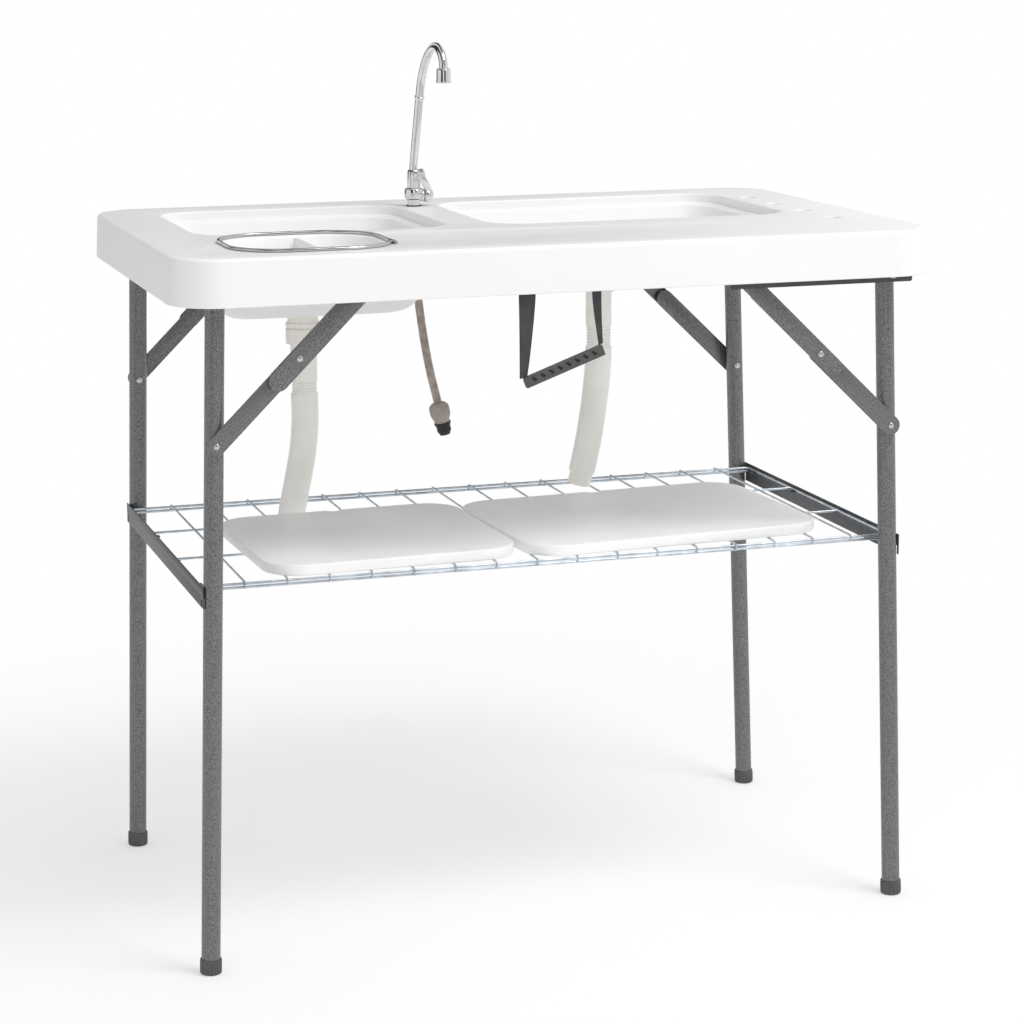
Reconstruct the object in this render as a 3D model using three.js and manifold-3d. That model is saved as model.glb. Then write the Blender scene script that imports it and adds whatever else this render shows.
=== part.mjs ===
// Fish cleaning table: a moulded top with two basins, a drain under each basin, a
// swivelling tap, two folding tube legs with hinged braces, a wire shelf and two boards.
// X runs to the right, Y to the back and Z up. The origin is on the floor under the
// centre of the top. Every length is in millimetres, and every angle in radians.
import * as THREE from 'three';
import { mergeVertices } from 'three/addons/utils/BufferGeometryUtils.js';
import Module from 'manifold-3d';

const wasm = await Module();
wasm.setup();

// Gaps shared by all pieces: a seat is the space between two pieces that touch on the
// real table, a running fit is the space round a pin, and an overrun clears a cut.
const seatGap = 0.3;
const runningGap = 0.35;
const overrun = 2;

// Table top
const deckHeight = 940;
const topLength = 1025;
const topWidth = 658;
const topCornerRadius = 64;
const skirtHeight = 61;
const skirtFlare = 3;
const skirtLip = 3;
const edgeRadius = 6;
const shellWall = 5;
const moulding = 4;

// Basins, sunk in the deck with a rebate that takes a lid
const endDeck = 80.5;
const rightEndDeck = 104.5;
const bridgeLength = 59;
const leftBasinShare = 0.4443;
const frontDeck = 261;
const backDeck = 75;
const rebateCorner = 52;
const rebateDepth = 13;
const ledgeWidth = 11;
const basinDraftShare = 0.33;
const leftBasinDepth = 118;
const rightBasinDepth = 64;
const leftFloorRadius = 30;
const rightFloorRadius = 20;

// Two-bay tray at the front left, with a stainless ring lying round it for a waste bag
const trayInset = 92.5;
const trayLength = 199;
const trayFrontDeck = 45;
const trayBackDeck = 30;
const trayCorner = 66;
const trayDepth = 35;
const traySlopeDrop = 14;
const traySlopeRun = 28;
const trayWallRun = 4;
const trayFloorRun = 6;
const traySplitShare = 0.555;
const dividerWall = 5;
const dividerDrop = 3;
const ringWire = 4.5;
const ringMargin = 5.5;
const ringTail = 16;

// Holes for knives at the right end
const toolHoleRadius = 11.5;
const toolHoleInset = 74.5;
const toolHoleFirst = 163;
const toolHolePitch = 102.3;
const toolHoleCount = 4;

// Legs
const tubeRadius = 12.5;
const tubeWall = 1.5;
const footInset = 26.5;
const footInsetY = 55;
const legLeanShare = 0.0346;
const capRadius = 14.5;
const capHeight = 20;
const capFloor = 4;
const capRib = 0.6;
const capRibCount = 14;
const foldDrop = 32;
const stackGap = 1;
const leftPivotOffset = 6.65;
const plugLength = 12;

// Braces, each a flat lower link and a folded upper link
const braceDrop = 207.9;
const leftBraceShift = 8.4;
const lowerLinkGauge = 2.2;
const upperLinkGauge = 1.5;
const upperLinkDepth = 6.5;
const wideLink = 26;
const narrowLink = 24;
const leftUpperTail = 51;
const rightUpperTail = 38;
const rightLowerTail = 14;
const flangeCutBack = 22;
const rivetShank = 2.6;
const rivetHead = 4.25;
const rivetDome = 1.8;

// Rails under the deck that carry the legs and braces
const railGauge = 2;
const railFlange = 12;
const railFoot = 11.5;
const railInnerEnd = 288.5;
const railOuterEnd = 28;
const railScrewShares = [0.12, 0.88];
const pivotBoltRadius = 4;
const pivotHeadRadius = 7;
const pivotHeadHeight = 4;
const bushRadius = 7.5;
const screwRadius = 1.9;
const screwHeadRadius = 4;
const screwHeadHeight = 2.4;
const screwBite = 3.4;

// Wire shelf that hangs on pegs of the legs
const shelfHeight = 513;
const rimWire = 3.6;
const runnerWire = 3.4;
const crossWire = 3;
const edgeWireDrop = 4.8;
const shelfSideGap = 1.3;
const tipLength = 7;
const weldDepth = 0.8;
const bayCount = 17;
const endPlateGauge = 1.5;
const endPlateHeight = 28;
const endPlateRise = 5;
const shelfRunnerShare = 0.17;
const shelfTabShares = [-0.9, -0.3, 0.3, 0.9];
const pegRadius = 3;
const pegDrop = 9;
const pegProud = 0.3;
const shelfTabWidth = 12;
const shelfTabLength = 9;

// Boards, which also close the basins
const boardThickness = 15;
const boardGap = 1;
const boardEdge = 2.5;
const fingerNotchRadius = 9;
const leftBoardShift = 36.5;
const rightBoardShift = -20;
const leftBoardBack = -92;
const rightBoardBack = -87;
const leftBoardTurnShare = 0.00557;
const rightBoardTurnShare = 0.00971;

// Drain fitting under each basin
const drainHoleRadius = 20;
const drainFlangeRadius = 31;
const drainFlange = 2.5;
const tailRadius = 18;
const drainBore = 15;
const drainGasket = 3;
const locknutRadius = 24.3;
const locknutHeight = 23;
const locknutRim = 6;
const locknutWaist = 21.5;
const collarRadius = 24.7;
const collarHeight = 23.5;
const collarNeck = 1.8;
const collarFlute = 0.9;
const collarFluteCount = 12;
const cuffRadius = 18.5;
const spigotRadius = 13.6;
const spigotBore = 11.5;
const spigotReach = 30;
const strainerGauge = 1.5;
const strainerHoleRadius = 3.2;
const strainerHoleCount = 6;
const strainerRing = 9;

// Drain hoses: a plain cuff, ribs, then a smooth run that ends in a sleeve
const hoseRadius = 19;
const hoseBore = 15;
const hoseRibRadius = 17.2;
const hoseGrooveRadius = 15.9;
const hoseRibPitch = 4.4;
const hoseBoreStep = 5;
const leftCuffLength = 55;
const rightCuffLength = 52;
const leftRibCount = 3;
const rightRibCount = 6;
const sleeveRadius = 16.4;
const sleeveLength = 16;
const rightDrainShift = 13;
const leftHoseRoute = [[-258.5, 93, 727], [-258.5, 93, 690], [-258.5, 94, 655], [-262, 99, 610],
  [-270, 107, 560], [-276, 112, 525], [-278, 114, 505], [-279, 115, 490]];
const rightHoseRoute = [[178, 93, 782], [178, 93, 750], [177.5, 93, 720], [173, 94, 670],
  [165, 95, 615], [157, 96, 575], [152, 97, 553], [149, 98, 539]];

// Tap
const tapX = -60.5;
const tapInset = 109;
const tapWasherRadius = 11.5;
const tapWasher = 1;
const tapFootRadius = 9.5;
const tapFootHeight = 8;
const tapNeckShare = 1.4;
const tapBodyRadius = 13.6;
const tapBodyHeight = 24;
const valveRadius = 9;
const valveReach = 14.2;
const valveHeight = 14;
const leverBallRadius = 10.5;
const hubShare = 0.4;
const leverGauge = 2.4;
const leverRise = 39;
const leverShares = [[-0.381, 0.524, -0.077, 0], [-0.385, 0.55, -0.154, 0.205],
  [-0.924, 0.219, -0.282, 0.41], [-1.4, -0.352, -0.333, 0.667], [-1.638, -0.638, -0.346, 1]];
const nutRadius = 9.8;
const nutHeight = 26.5;
const nutFluteCount = 10;
const nutFlute = 0.8;
const spoutRadius = 6;
const spoutBore = 4.6;
const spoutRise = 230;
const spoutReach = 128;
const spoutTurnShare = 0.0167;
const spoutShares = [[0, 0], [0, 0.08], [0, 0.165], [0.061, 0.31], [0.137, 0.48], [0.21, 0.647],
  [0.286, 0.783], [0.436, 0.917], [0.64, 0.998], [0.78, 0.998], [0.872, 0.96], [0.918, 0.915],
  [0.93, 0.885], [0.93, 0.858]];
const seamRadius = 7;
const seamShares = [0.458, 0.476];
const nozzleRadius = 10;
const nozzleHeight = 21;
const nozzleMouth = 10.6;
const nozzleBore = 7.5;
const nozzleCover = 2;
const nozzleLip = 2;
const nozzleTaper = 6;
const shankRadius = 9;
const shankBore = 5;
const shankLength = 36;
const shankWasherRadius = 17;
const shankWasher = 2;
const shankNutRadius = 15;
const shankNutHeight = 7;

// Supply hose under the tap
const supplyRadius = 6;
const supplyDrop = 290;
const supplySway = 31.9;
const supplyTurnShare = 0.03565;
const supplyShares = [[0, 0], [0, 0.07], [0.04, 0.2], [0.2, 0.42], [0.43, 0.64], [0.68, 0.82]];
const ferruleRadius = 9.5;
const ferruleHeight = 16;
const couplingRadius = 15;
const couplingHeight = 30;
const couplingFlute = 1;
const couplingFluteCount = 10;
const couplingBoreShare = 0.7;
const adapterRadius = 10.5;
const adapterTipRadius = 8;
const adapterHeight = 19;
const adapterBore = 6;

// Carrying handle, a moulded grip on two webbing straps
const strapGauge = 2;
const strapInset = 6.8;
const strapFootShift = 5.5;
const gripOverhang = 1;
const leftStrapX = -62.5;
const leftStrapWidth = 22;
const rightStrapX = 31;
const rightStrapWidth = 12;
const anchorHeight = 23;
const leftStrapLength = 104;
const rightStrapLength = 66;
const gripHeight = 15;
const gripGauge = 7;
const gripCorner = 4.5;
const gripSlotCount = 8;
const gripSlotShare = 0.42;
const gripSlotDepth = 1.6;
const strapFootShare = 0.45;
const pinchShare = 0.3;
const domeShare = 0.7;

// Shares of one turn, and counts of facets
const fullTurn = Math.PI * 2;
const fine = 16;
const medium = 12;
const coarse = 8;
const wireSides = 5;
const hexSides = 6;
const edgeSteps = 4;
const bendSteps = 3;
const fluteSteps = 4;
const plateSteps = 6;

// Colours, roughness and metalness of each finish
const whitePlastic = { color: 0xe9e8e5, roughness: 0.5, metalness: 0 };
const boardPlastic = { color: 0xe0dedb, roughness: 0.6, metalness: 0 };
const ivoryPlastic = { color: 0xdfdad0, roughness: 0.5, metalness: 0 };
const hosePlastic = { color: 0xe6e3dc, roughness: 0.45, metalness: 0 };
const hammerGrey = { color: 0x66676a, roughness: 0.45, metalness: 0.35 };
const darkGrey = { color: 0x464749, roughness: 0.5, metalness: 0.3 };
const footPlastic = { color: 0x4b4c4e, roughness: 0.65, metalness: 0 };
const brightSteel = { color: 0xc9ccd0, roughness: 0.25, metalness: 1 };
const zincWire = { color: 0xaab4bf, roughness: 0.35, metalness: 0.9 };
const chrome = { color: 0xd8dadd, roughness: 0.08, metalness: 1 };
const brass = { color: 0xb39a5a, roughness: 0.35, metalness: 1 };
const rubber = { color: 0x222222, roughness: 0.8, metalness: 0 };
const braidedSteel = { color: 0x8d7f74, roughness: 0.45, metalness: 0.6 };
const blackPlastic = { color: 0x2a2a2b, roughness: 0.6, metalness: 0 };
const webbing = { color: 0x3c3c3e, roughness: 0.9, metalness: 0 };
const gripPlastic = { color: 0x545557, roughness: 0.7, metalness: 0 };

// Solids and booleans

function solid(geometry) {
  const bare = geometry.clone();
  bare.deleteAttribute('normal');
  bare.deleteAttribute('uv');
  const merged = mergeVertices(bare);
  return new wasm.Manifold(new wasm.Mesh({
    numProp: 3,
    vertProperties: new Float32Array(merged.attributes.position.array),
    triVerts: new Uint32Array(merged.index.array),
  }));
}

function geometryOf(body) {
  const result = body.getMesh();
  const geometry = new THREE.BufferGeometry();
  geometry.setAttribute('position', new THREE.BufferAttribute(result.vertProperties, 3));
  geometry.setIndex(new THREE.BufferAttribute(result.triVerts, 1));
  geometry.computeVertexNormals();
  return geometry;
}

function union(bodies) {
  return bodies.reduce((whole, body) => whole.add(body));
}

const table = new THREE.Group();

function place(name, body, finish, parent = table) {
  const mesh = new THREE.Mesh(geometryOf(body), new THREE.MeshStandardMaterial(finish));
  mesh.name = name;
  parent.add(mesh);
  return mesh;
}

function block(x0, x1, y0, y1, z0, z1) {
  const geometry = new THREE.BoxGeometry(x1 - x0, y1 - y0, z1 - z0);
  geometry.translate((x0 + x1) / 2, (y0 + y1) / 2, (z0 + z1) / 2);
  return solid(geometry);
}

// A straight round bar from one point to another, with an optional second radius
function bar(from, to, radius, sides, endRadius = radius) {
  const axis = new THREE.Vector3().subVectors(to, from);
  const geometry = new THREE.CylinderGeometry(endRadius, radius, axis.length(), sides);
  geometry.translate(0, axis.length() / 2, 0);
  const up = new THREE.Vector3(0, 1, 0);
  geometry.applyQuaternion(new THREE.Quaternion().setFromUnitVectors(up, axis.normalize()));
  geometry.translate(from.x, from.y, from.z);
  return solid(geometry);
}

function point(x, y, z) {
  return new THREE.Vector3(x, y, z);
}

// A body of revolution about a vertical line; the profile holds radius and height pairs
function turned(profile, sides, x = 0, y = 0) {
  const geometry = new THREE.LatheGeometry(profile.map(([r, z]) => new THREE.Vector2(r, z)), sides);
  geometry.rotateX(Math.PI / 2);
  geometry.translate(x, y, 0);
  const body = solid(geometry);
  return body.volume() < 0 ? solid(flipped(geometry)) : body;
}

function flipped(geometry) {
  const copy = geometry.clone();
  const order = copy.index.array;
  for (let i = 0; i < order.length; i += 3) {
    [order[i], order[i + 1]] = [order[i + 1], order[i]];
  }
  return copy;
}

// A ring with a rectangular section
function sleeve(outer, inner, z0, z1, sides, x = 0, y = 0) {
  return turned([[inner, z0], [outer, z0], [outer, z1], [inner, z1], [inner, z0]], sides, x, y);
}

// A round outline with shallow flutes, for grips and nuts
function flutedOutline(radius, depth, count) {
  const outline = [];
  const steps = count * fluteSteps;
  for (let i = 0; i < steps; i += 1) {
    const angle = (i / steps) * fullTurn;
    const r = i % fluteSteps < fluteSteps / 2 ? radius : radius - depth;
    outline.push(new THREE.Vector2(r * Math.cos(angle), r * Math.sin(angle)));
  }
  return new THREE.Shape(outline);
}

// A flat plate in the XY plane
function slab(shape, z0, z1, segments = edgeSteps) {
  const geometry = new THREE.ExtrudeGeometry(shape, {
    depth: z1 - z0, bevelEnabled: false, curveSegments: segments,
  });
  geometry.translate(0, 0, z0);
  return solid(geometry);
}

// A flat plate in the XZ plane; the shape's second direction becomes Z
function sheet(shape, y0, y1, segments = plateSteps) {
  const geometry = new THREE.ExtrudeGeometry(shape, {
    depth: Math.abs(y1 - y0), bevelEnabled: false, curveSegments: segments,
  });
  geometry.rotateX(Math.PI / 2);
  geometry.translate(0, Math.max(y0, y1), 0);
  return solid(geometry);
}

// One round wire or tube along a curve
function wire(curve, radius, steps, sides) {
  const section = new THREE.Shape();
  for (let i = 0; i < sides; i += 1) {
    const angle = (i / sides) * fullTurn;
    const x = radius * Math.cos(angle);
    const y = radius * Math.sin(angle);
    if (i === 0) section.moveTo(x, y);
    else section.lineTo(x, y);
  }
  return solid(new THREE.ExtrudeGeometry(section, {
    steps, bevelEnabled: false, extrudePath: curve,
  }));
}

// The outline of a rectangle with round corners, at one height
function roundedRing(x0, x1, y0, y1, radius, z, arcSteps = bendSteps) {
  const ring = [];
  const centres = [[x1 - radius, y1 - radius], [x0 + radius, y1 - radius],
    [x0 + radius, y0 + radius], [x1 - radius, y0 + radius]];
  centres.forEach(([cx, cy], corner) => {
    for (let i = 0; i <= arcSteps; i += 1) {
      const angle = (corner + i / arcSteps) * (Math.PI / 2);
      ring.push([cx + radius * Math.cos(angle), cy + radius * Math.sin(angle), z]);
    }
  });
  return ring;
}

// A closed body through rings of as many points each, from the lowest ring to the highest
function loft(rings) {
  const count = rings[0].length;
  const points = rings.flat();
  const faces = [];
  for (let k = 0; k + 1 < rings.length; k += 1) {
    for (let i = 0; i < count; i += 1) {
      const a = k * count + i;
      const b = k * count + ((i + 1) % count);
      faces.push(a, b, b + count, a, b + count, a + count);
    }
  }
  const first = points.length;
  const last = first + 1;
  [rings[0], rings[rings.length - 1]].forEach((ring) => {
    const sum = ring.reduce((s, p) => [s[0] + p[0], s[1] + p[1], s[2] + p[2]], [0, 0, 0]);
    points.push(sum.map((value) => value / count));
  });
  const top = (rings.length - 1) * count;
  for (let i = 0; i < count; i += 1) {
    const next = (i + 1) % count;
    faces.push(next, i, first, top + i, top + next, last);
  }
  const geometry = new THREE.BufferGeometry();
  geometry.setAttribute('position', new THREE.Float32BufferAttribute(points.flat(), 3));
  geometry.setIndex(faces);
  return solid(geometry);
}

// Places that several pieces share
const deckUnder = deckHeight - shellWall;
const halfLength = topLength / 2;
const halfWidth = topWidth / 2;
const skirtFoot = deckHeight - skirtHeight;
const rebateFront = -halfWidth + frontDeck;
const rebateBack = halfWidth - backDeck;
const basinY = (rebateFront + rebateBack) / 2;
const rebateSpan = topLength - endDeck - rightEndDeck - bridgeLength;
const leftRebate = {
  x0: -halfLength + endDeck,
  x1: -halfLength + endDeck + rebateSpan * leftBasinShare,
  depth: leftBasinDepth,
  floorRadius: leftFloorRadius,
  drainShift: 0,
};
const rightRebate = {
  x0: leftRebate.x1 + bridgeLength,
  x1: halfLength - rightEndDeck,
  depth: rightBasinDepth,
  floorRadius: rightFloorRadius,
  drainShift: rightDrainShift,
};
const basins = [leftRebate, rightRebate];
basins.forEach((basin) => {
  basin.x = (basin.x0 + basin.x1) / 2;
  basin.floor = deckHeight - basin.depth;
  basin.drainX = basin.x - basin.drainShift;
});
const tray = {
  x0: -halfLength + trayInset,
  x1: -halfLength + trayInset + trayLength,
  y0: -halfWidth + trayFrontDeck,
  y1: rebateFront - trayBackDeck,
};
const legY = halfWidth - footInsetY;
const capSide = legY + capRadius;

// Legs and braces are worked out on the right-hand side, where u points outwards
const footU = halfLength - footInset;
const leanLength = Math.hypot(1, legLeanShare);
const legCos = 1 / leanLength;
const legSin = legLeanShare / leanLength;
const leftFolded = deckHeight - foldDrop;
const rightFolded = leftFolded - tubeRadius - capRadius - stackGap;

function legPlan(side, folded, pivotOffset, braceShift) {
  const pivotZ = folded - pivotOffset;
  const tubeTop = { z: pivotZ - pivotOffset * legSin };
  tubeTop.u = footU - legLeanShare * tubeTop.z;
  const pivot = { u: tubeTop.u + pivotOffset * legCos, z: pivotZ };
  const rivet = { z: folded - braceDrop };
  rivet.u = footU - legLeanShare * rivet.z;
  const rivetReach = (tubeTop.z - rivet.z) / legCos;
  const anchor = { u: pivot.u - rivetReach - braceShift, z: folded };
  const span = Math.hypot(rivet.u - anchor.u, anchor.z - rivet.z);
  const lower = (span + braceShift) / 2;
  const upper = (span - braceShift) / 2;
  const rise = Math.atan2(anchor.z - rivet.z, rivet.u - anchor.u);
  const middle = {
    u: anchor.u + upper * Math.cos(rise),
    z: anchor.z - upper * Math.sin(rise),
  };
  return { side, folded, pivot, tubeTop, rivet, anchor, middle, lower, upper, rise };
}

const leftPlan = legPlan(-1, leftFolded, leftPivotOffset, leftBraceShift);
const rightPlan = legPlan(1, rightFolded, 0, 0);

// Layers of the hinges, measured outwards from the middle of the table
const lowerLinkIn = capSide + seatGap;
const lowerLinkOut = lowerLinkIn + lowerLinkGauge;
const upperLinkIn = lowerLinkOut + seatGap;
const upperLinkOut = upperLinkIn + upperLinkDepth;
const railIn = upperLinkOut + runningGap * 2;
const railOut = railIn + railGauge;

// Moulded top: a skirted shell, two basins with rebates, a tray and the knife holes

function topShell() {
  const outer = [];
  const inner = [];
  const foot = skirtFlare;
  const ring = (grow, z, list) => list.push(roundedRing(
    -halfLength - grow, halfLength + grow, -halfWidth - grow, halfWidth + grow,
    topCornerRadius + grow, z,
  ));
  ring(foot, skirtFoot, outer);
  ring(0, deckHeight - edgeRadius, outer);
  for (let i = 1; i <= edgeSteps; i += 1) {
    const angle = (i / edgeSteps) * (Math.PI / 2);
    ring(-edgeRadius * (1 - Math.cos(angle)), deckHeight - edgeRadius * (1 - Math.sin(angle)), outer);
  }
  ring(foot - shellWall, skirtFoot - overrun, inner);
  ring(-shellWall, deckHeight - edgeRadius, inner);
  ring(-edgeRadius, deckUnder, inner);
  const lipOuter = [];
  ring(foot - shellWall / 2, skirtFoot, lipOuter);
  ring(foot - shellWall / 2, skirtFoot + shellWall, lipOuter);
  const lipInner = [];
  ring(foot - shellWall - skirtLip, skirtFoot - overrun, lipInner);
  ring(foot - shellWall - skirtLip, skirtFoot + shellWall + overrun, lipInner);
  return loft(outer).subtract(loft(inner)).add(loft(lipOuter).subtract(loft(lipInner)));
}

// One basin as a filled body; grow is 0 for the hollow and the wall for the outside
function basinBody(basin, grow) {
  const ledge = deckHeight - rebateDepth;
  const floor = basin.floor - grow;
  const ring = (inset, z) => roundedRing(
    basin.x0 + inset - grow, basin.x1 - inset + grow,
    rebateFront + inset - grow, rebateBack - inset + grow,
    Math.max(rebateCorner - inset + grow, rebateCorner / 2), z,
  );
  const bowl = [];
  const bend = basin.floorRadius + grow;
  const fall = ledge - floor - bend;
  const wallInset = ledgeWidth + fall * basinDraftShare;
  for (let i = bendSteps; i >= 0; i -= 1) {
    const angle = (i / bendSteps) * (Math.PI / 2);
    bowl.push(ring(wallInset + bend * (1 - Math.cos(angle)), floor + bend * (1 - Math.sin(angle))));
  }
  bowl.push(ring(ledgeWidth, ledge - grow), ring(ledgeWidth, ledge + moulding / 2));
  const rebateTop = grow > 0 ? deckUnder + moulding / 2 : deckHeight + overrun;
  const rebate = [ring(0, ledge - grow), ring(0, rebateTop)];
  return loft(bowl).add(loft(rebate));
}

// The tray as a filled body, with a front wall that slopes so that a folded leg clears it
function trayBody(grow) {
  const floor = deckHeight - trayDepth - grow;
  const ring = (front, side, back, z) => roundedRing(
    tray.x0 + side - grow, tray.x1 - side + grow, tray.y0 + front - grow, tray.y1 - back + grow,
    trayCorner - side, z,
  );
  const low = traySlopeRun + trayWallRun;
  const rings = [
    ring(low + trayFloorRun, trayWallRun * 2 + trayFloorRun, trayWallRun * 2 + trayFloorRun, floor),
    ring(low, trayWallRun * 2, trayWallRun * 2, floor + trayFloorRun),
    ring(traySlopeRun, trayWallRun, trayWallRun, deckHeight - traySlopeDrop - grow),
    ring(0, 0, 0, deckHeight - grow),
  ];
  if (grow === 0) rings.push(ring(0, 0, 0, deckHeight + overrun));
  return loft(rings);
}

function trayDivider() {
  const x = tray.x0 + trayLength * traySplitShare;
  const slice = block(x - dividerWall / 2, x + dividerWall / 2, tray.y0, tray.y1,
    deckHeight - trayDepth - moulding / 2, deckHeight - dividerDrop);
  return slice.intersect(trayBody(moulding / 2).add(trayBody(0)));
}

function toolHoleCentres() {
  const centres = [];
  for (let i = 0; i < toolHoleCount; i += 1) {
    centres.push({ x: halfLength - toolHoleInset, y: halfWidth - toolHoleFirst - i * toolHolePitch });
  }
  return centres;
}

const tapY = halfWidth - tapInset;
const strapY = -(halfWidth - strapInset);

function tableTop() {
  let body = topShell();
  body = body.add(union(basins.map((basin) => basinBody(basin, moulding))).add(trayBody(moulding)));
  const hollows = basins.map((basin) => basinBody(basin, 0));
  hollows.push(trayBody(0));
  basins.forEach((basin) => hollows.push(bar(
    point(basin.drainX, basinY, basin.floor - moulding - overrun),
    point(basin.drainX, basinY, basin.floor + overrun), drainHoleRadius, medium,
  )));
  toolHoleCentres().forEach((hole) => hollows.push(bar(
    point(hole.x, hole.y, deckUnder - overrun), point(hole.x, hole.y, deckHeight + overrun),
    toolHoleRadius, medium,
  )));
  hollows.push(bar(point(tapX, tapY, deckUnder - overrun), point(tapX, tapY, deckHeight + overrun),
    shankRadius + seatGap, medium));
  railScrewPlaces().forEach((place) => hollows.push(bar(
    point(place.x, place.y, deckUnder - overrun),
    point(place.x, place.y, deckUnder + screwBite + seatGap), screwRadius + seatGap, coarse,
  )));
  return body.subtract(union(hollows)).add(trayDivider());
}

// Rails, screws, pivot bolts and brace pins

function railScrewPlaces() {
  const places = [];
  [-1, 1].forEach((side) => [-1, 1].forEach((face) => {
    const inner = halfLength - railInnerEnd;
    const outer = halfLength - topCornerRadius;
    railScrewShares.forEach((share) => places.push({
      x: side * (inner + (outer - inner) * share),
      y: face * (railIn + railGauge + railFlange / 2),
    }));
  }));
  return places;
}

function rail(plan, face) {
  const inner = halfLength - railInnerEnd;
  const outer = halfLength - railOuterEnd;
  const top = deckUnder - seatGap;
  const bottom = plan.pivot.z - railFoot;
  const x0 = Math.min(plan.side * inner, plan.side * outer);
  const x1 = Math.max(plan.side * inner, plan.side * outer);
  const far = railOut + railFlange;
  let body = block(x0, x1, Math.min(face * railIn, face * railOut),
    Math.max(face * railIn, face * railOut), bottom, top);
  const corner = halfLength - topCornerRadius;
  body = body.add(block(Math.max(x0, -corner), Math.min(x1, corner), Math.min(face * railIn, face * far),
    Math.max(face * railIn, face * far), top - railGauge, top));
  const across = (spot, radius) => bar(
    point(plan.side * spot.u, face * (railIn - overrun), spot.z),
    point(plan.side * spot.u, face * (railOut + overrun), spot.z), radius, medium,
  );
  body = body.subtract(across(plan.pivot, pivotBoltRadius + seatGap));
  railScrewPlaces().filter(({ x, y }) => x > x0 && x < x1 && y * face > 0).forEach((place) => {
    body = body.add(railScrew(place));
  });
  return body.add(anchorPin(plan, face));
}

// A pan-head screw, driven up through the rail into the deck
function railScrew({ x, y }) {
  const under = deckUnder - seatGap - railGauge;
  return turned([
    [0, under - screwHeadHeight], [screwHeadRadius * domeShare, under - screwHeadHeight],
    [screwHeadRadius, under - screwHeadHeight / 2], [screwHeadRadius, under + seatGap],
    [screwRadius, under + seatGap], [screwRadius, deckUnder + screwBite], [0, deckUnder + screwBite],
  ], coarse, x, y);
}

// A pin across the table through one spot of a leg plan, from one layer to another
function crossPin(plan, spot, face, from, to, radius, sides = coarse) {
  return bar(point(plan.side * spot.u, face * from, spot.z),
    point(plan.side * spot.u, face * to, spot.z), radius, sides);
}

// A bolt with a shoulder that spaces the leg from the rail
function pivotBolt(plan, face) {
  const head = railOut + seatGap;
  const plugIn = legY + tubeRadius - plugLength;
  const pin = (from, to, radius, count) => crossPin(plan, plan.pivot, face, from, to, radius, count);
  return union([
    pin(plugIn - overrun * 2, head + overrun / 2, pivotBoltRadius, medium),
    pin(head, head + pivotHeadHeight, pivotHeadRadius, hexSides),
    pin(legY + tubeRadius + seatGap, railIn - seatGap, bushRadius, medium),
  ]);
}

// Leg frames: two tubes, a cross tube on the pivot line and pegs for the shelf

function legPoint(plan, face, z) {
  return point(plan.side * (footU - legLeanShare * z), face * legY, z);
}

const pegHeight = shelfHeight - pegDrop;
const plateBottom = shelfHeight + endPlateRise - endPlateHeight;
const plateInner = footU - legLeanShare * plateBottom + tubeRadius * leanLength + seatGap / 2;
const plateOuter = plateInner + endPlateGauge;

function legFrame(plan) {
  const footZ = capFloor + seatGap;
  const crossEnd = legY + tubeRadius;
  let outside = crossPin(plan, plan.pivot, 1, -crossEnd, crossEnd, tubeRadius, medium);
  let inside = crossPin(plan, plan.pivot, 1, plugLength - crossEnd, crossEnd - plugLength,
    tubeRadius - tubeWall, medium);
  inside = inside.add(crossPin(plan, plan.pivot, 1, -crossEnd - overrun, crossEnd + overrun,
    pivotBoltRadius + runningGap, medium));
  [-1, 1].forEach((face) => {
    const top = legPoint(plan, face, plan.tubeTop.z);
    outside = outside.add(bar(legPoint(plan, face, footZ), top, tubeRadius, medium));
    inside = inside.add(bar(legPoint(plan, face, footZ - overrun),
      legPoint(plan, face, plan.tubeTop.z - tubeRadius - tubeWall), tubeRadius - tubeWall, medium));
    const peg = { u: plateOuter + pegProud, z: pegHeight };
    outside = outside.add(bar(legPoint(plan, face, pegHeight),
      point(plan.side * peg.u, face * legY, peg.z), pegRadius, coarse));
  });
  return outside.subtract(inside).add(union([-1, 1].map((face) => legRivet(plan, face))));
}

// A ribbed cap, square to the tube and cut flat where it stands on the floor
function footCap(plan, face) {
  const ribs = new THREE.Shape(
    flutedOutline(capRadius, capRib, capRibCount).getPoints(),
  );
  const lean = Math.atan(legLeanShare) * plan.side;
  const geometry = new THREE.ExtrudeGeometry(ribs, { depth: capHeight + overrun * 2, bevelEnabled: false });
  geometry.translate(0, 0, -overrun);
  const bore = new THREE.CylinderGeometry(tubeRadius + seatGap, tubeRadius + seatGap,
    capHeight + overrun * 2, medium);
  bore.rotateX(Math.PI / 2);
  bore.translate(0, 0, capFloor + capHeight / 2 + overrun);
  [geometry, bore].forEach((shape) => {
    shape.rotateY(-lean);
    shape.translate(plan.side * footU, face * legY, 0);
  });
  const floorCut = block(-topLength, topLength, -topWidth, topWidth, -capHeight, 0);
  return solid(geometry).subtract(solid(bore)).subtract(floorCut);
}

// Rivet of the lower link: a shank through the tube, a head on each side and a shoulder
function legRivet(plan, face) {
  const inner = legY - tubeRadius;
  const pin = (from, to, radius) => crossPin(plan, plan.rivet, face, from, to, radius);
  return union([
    pin(inner - rivetDome, inner + tubeWall, rivetHead),
    pin(inner, lowerLinkOut + seatGap + rivetDome / 2, rivetShank),
    pin(legY + tubeRadius - tubeWall, lowerLinkIn - seatGap, rivetHead + runningGap),
    pin(lowerLinkOut + seatGap, lowerLinkOut + seatGap + rivetDome, rivetHead),
  ]);
}

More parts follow.
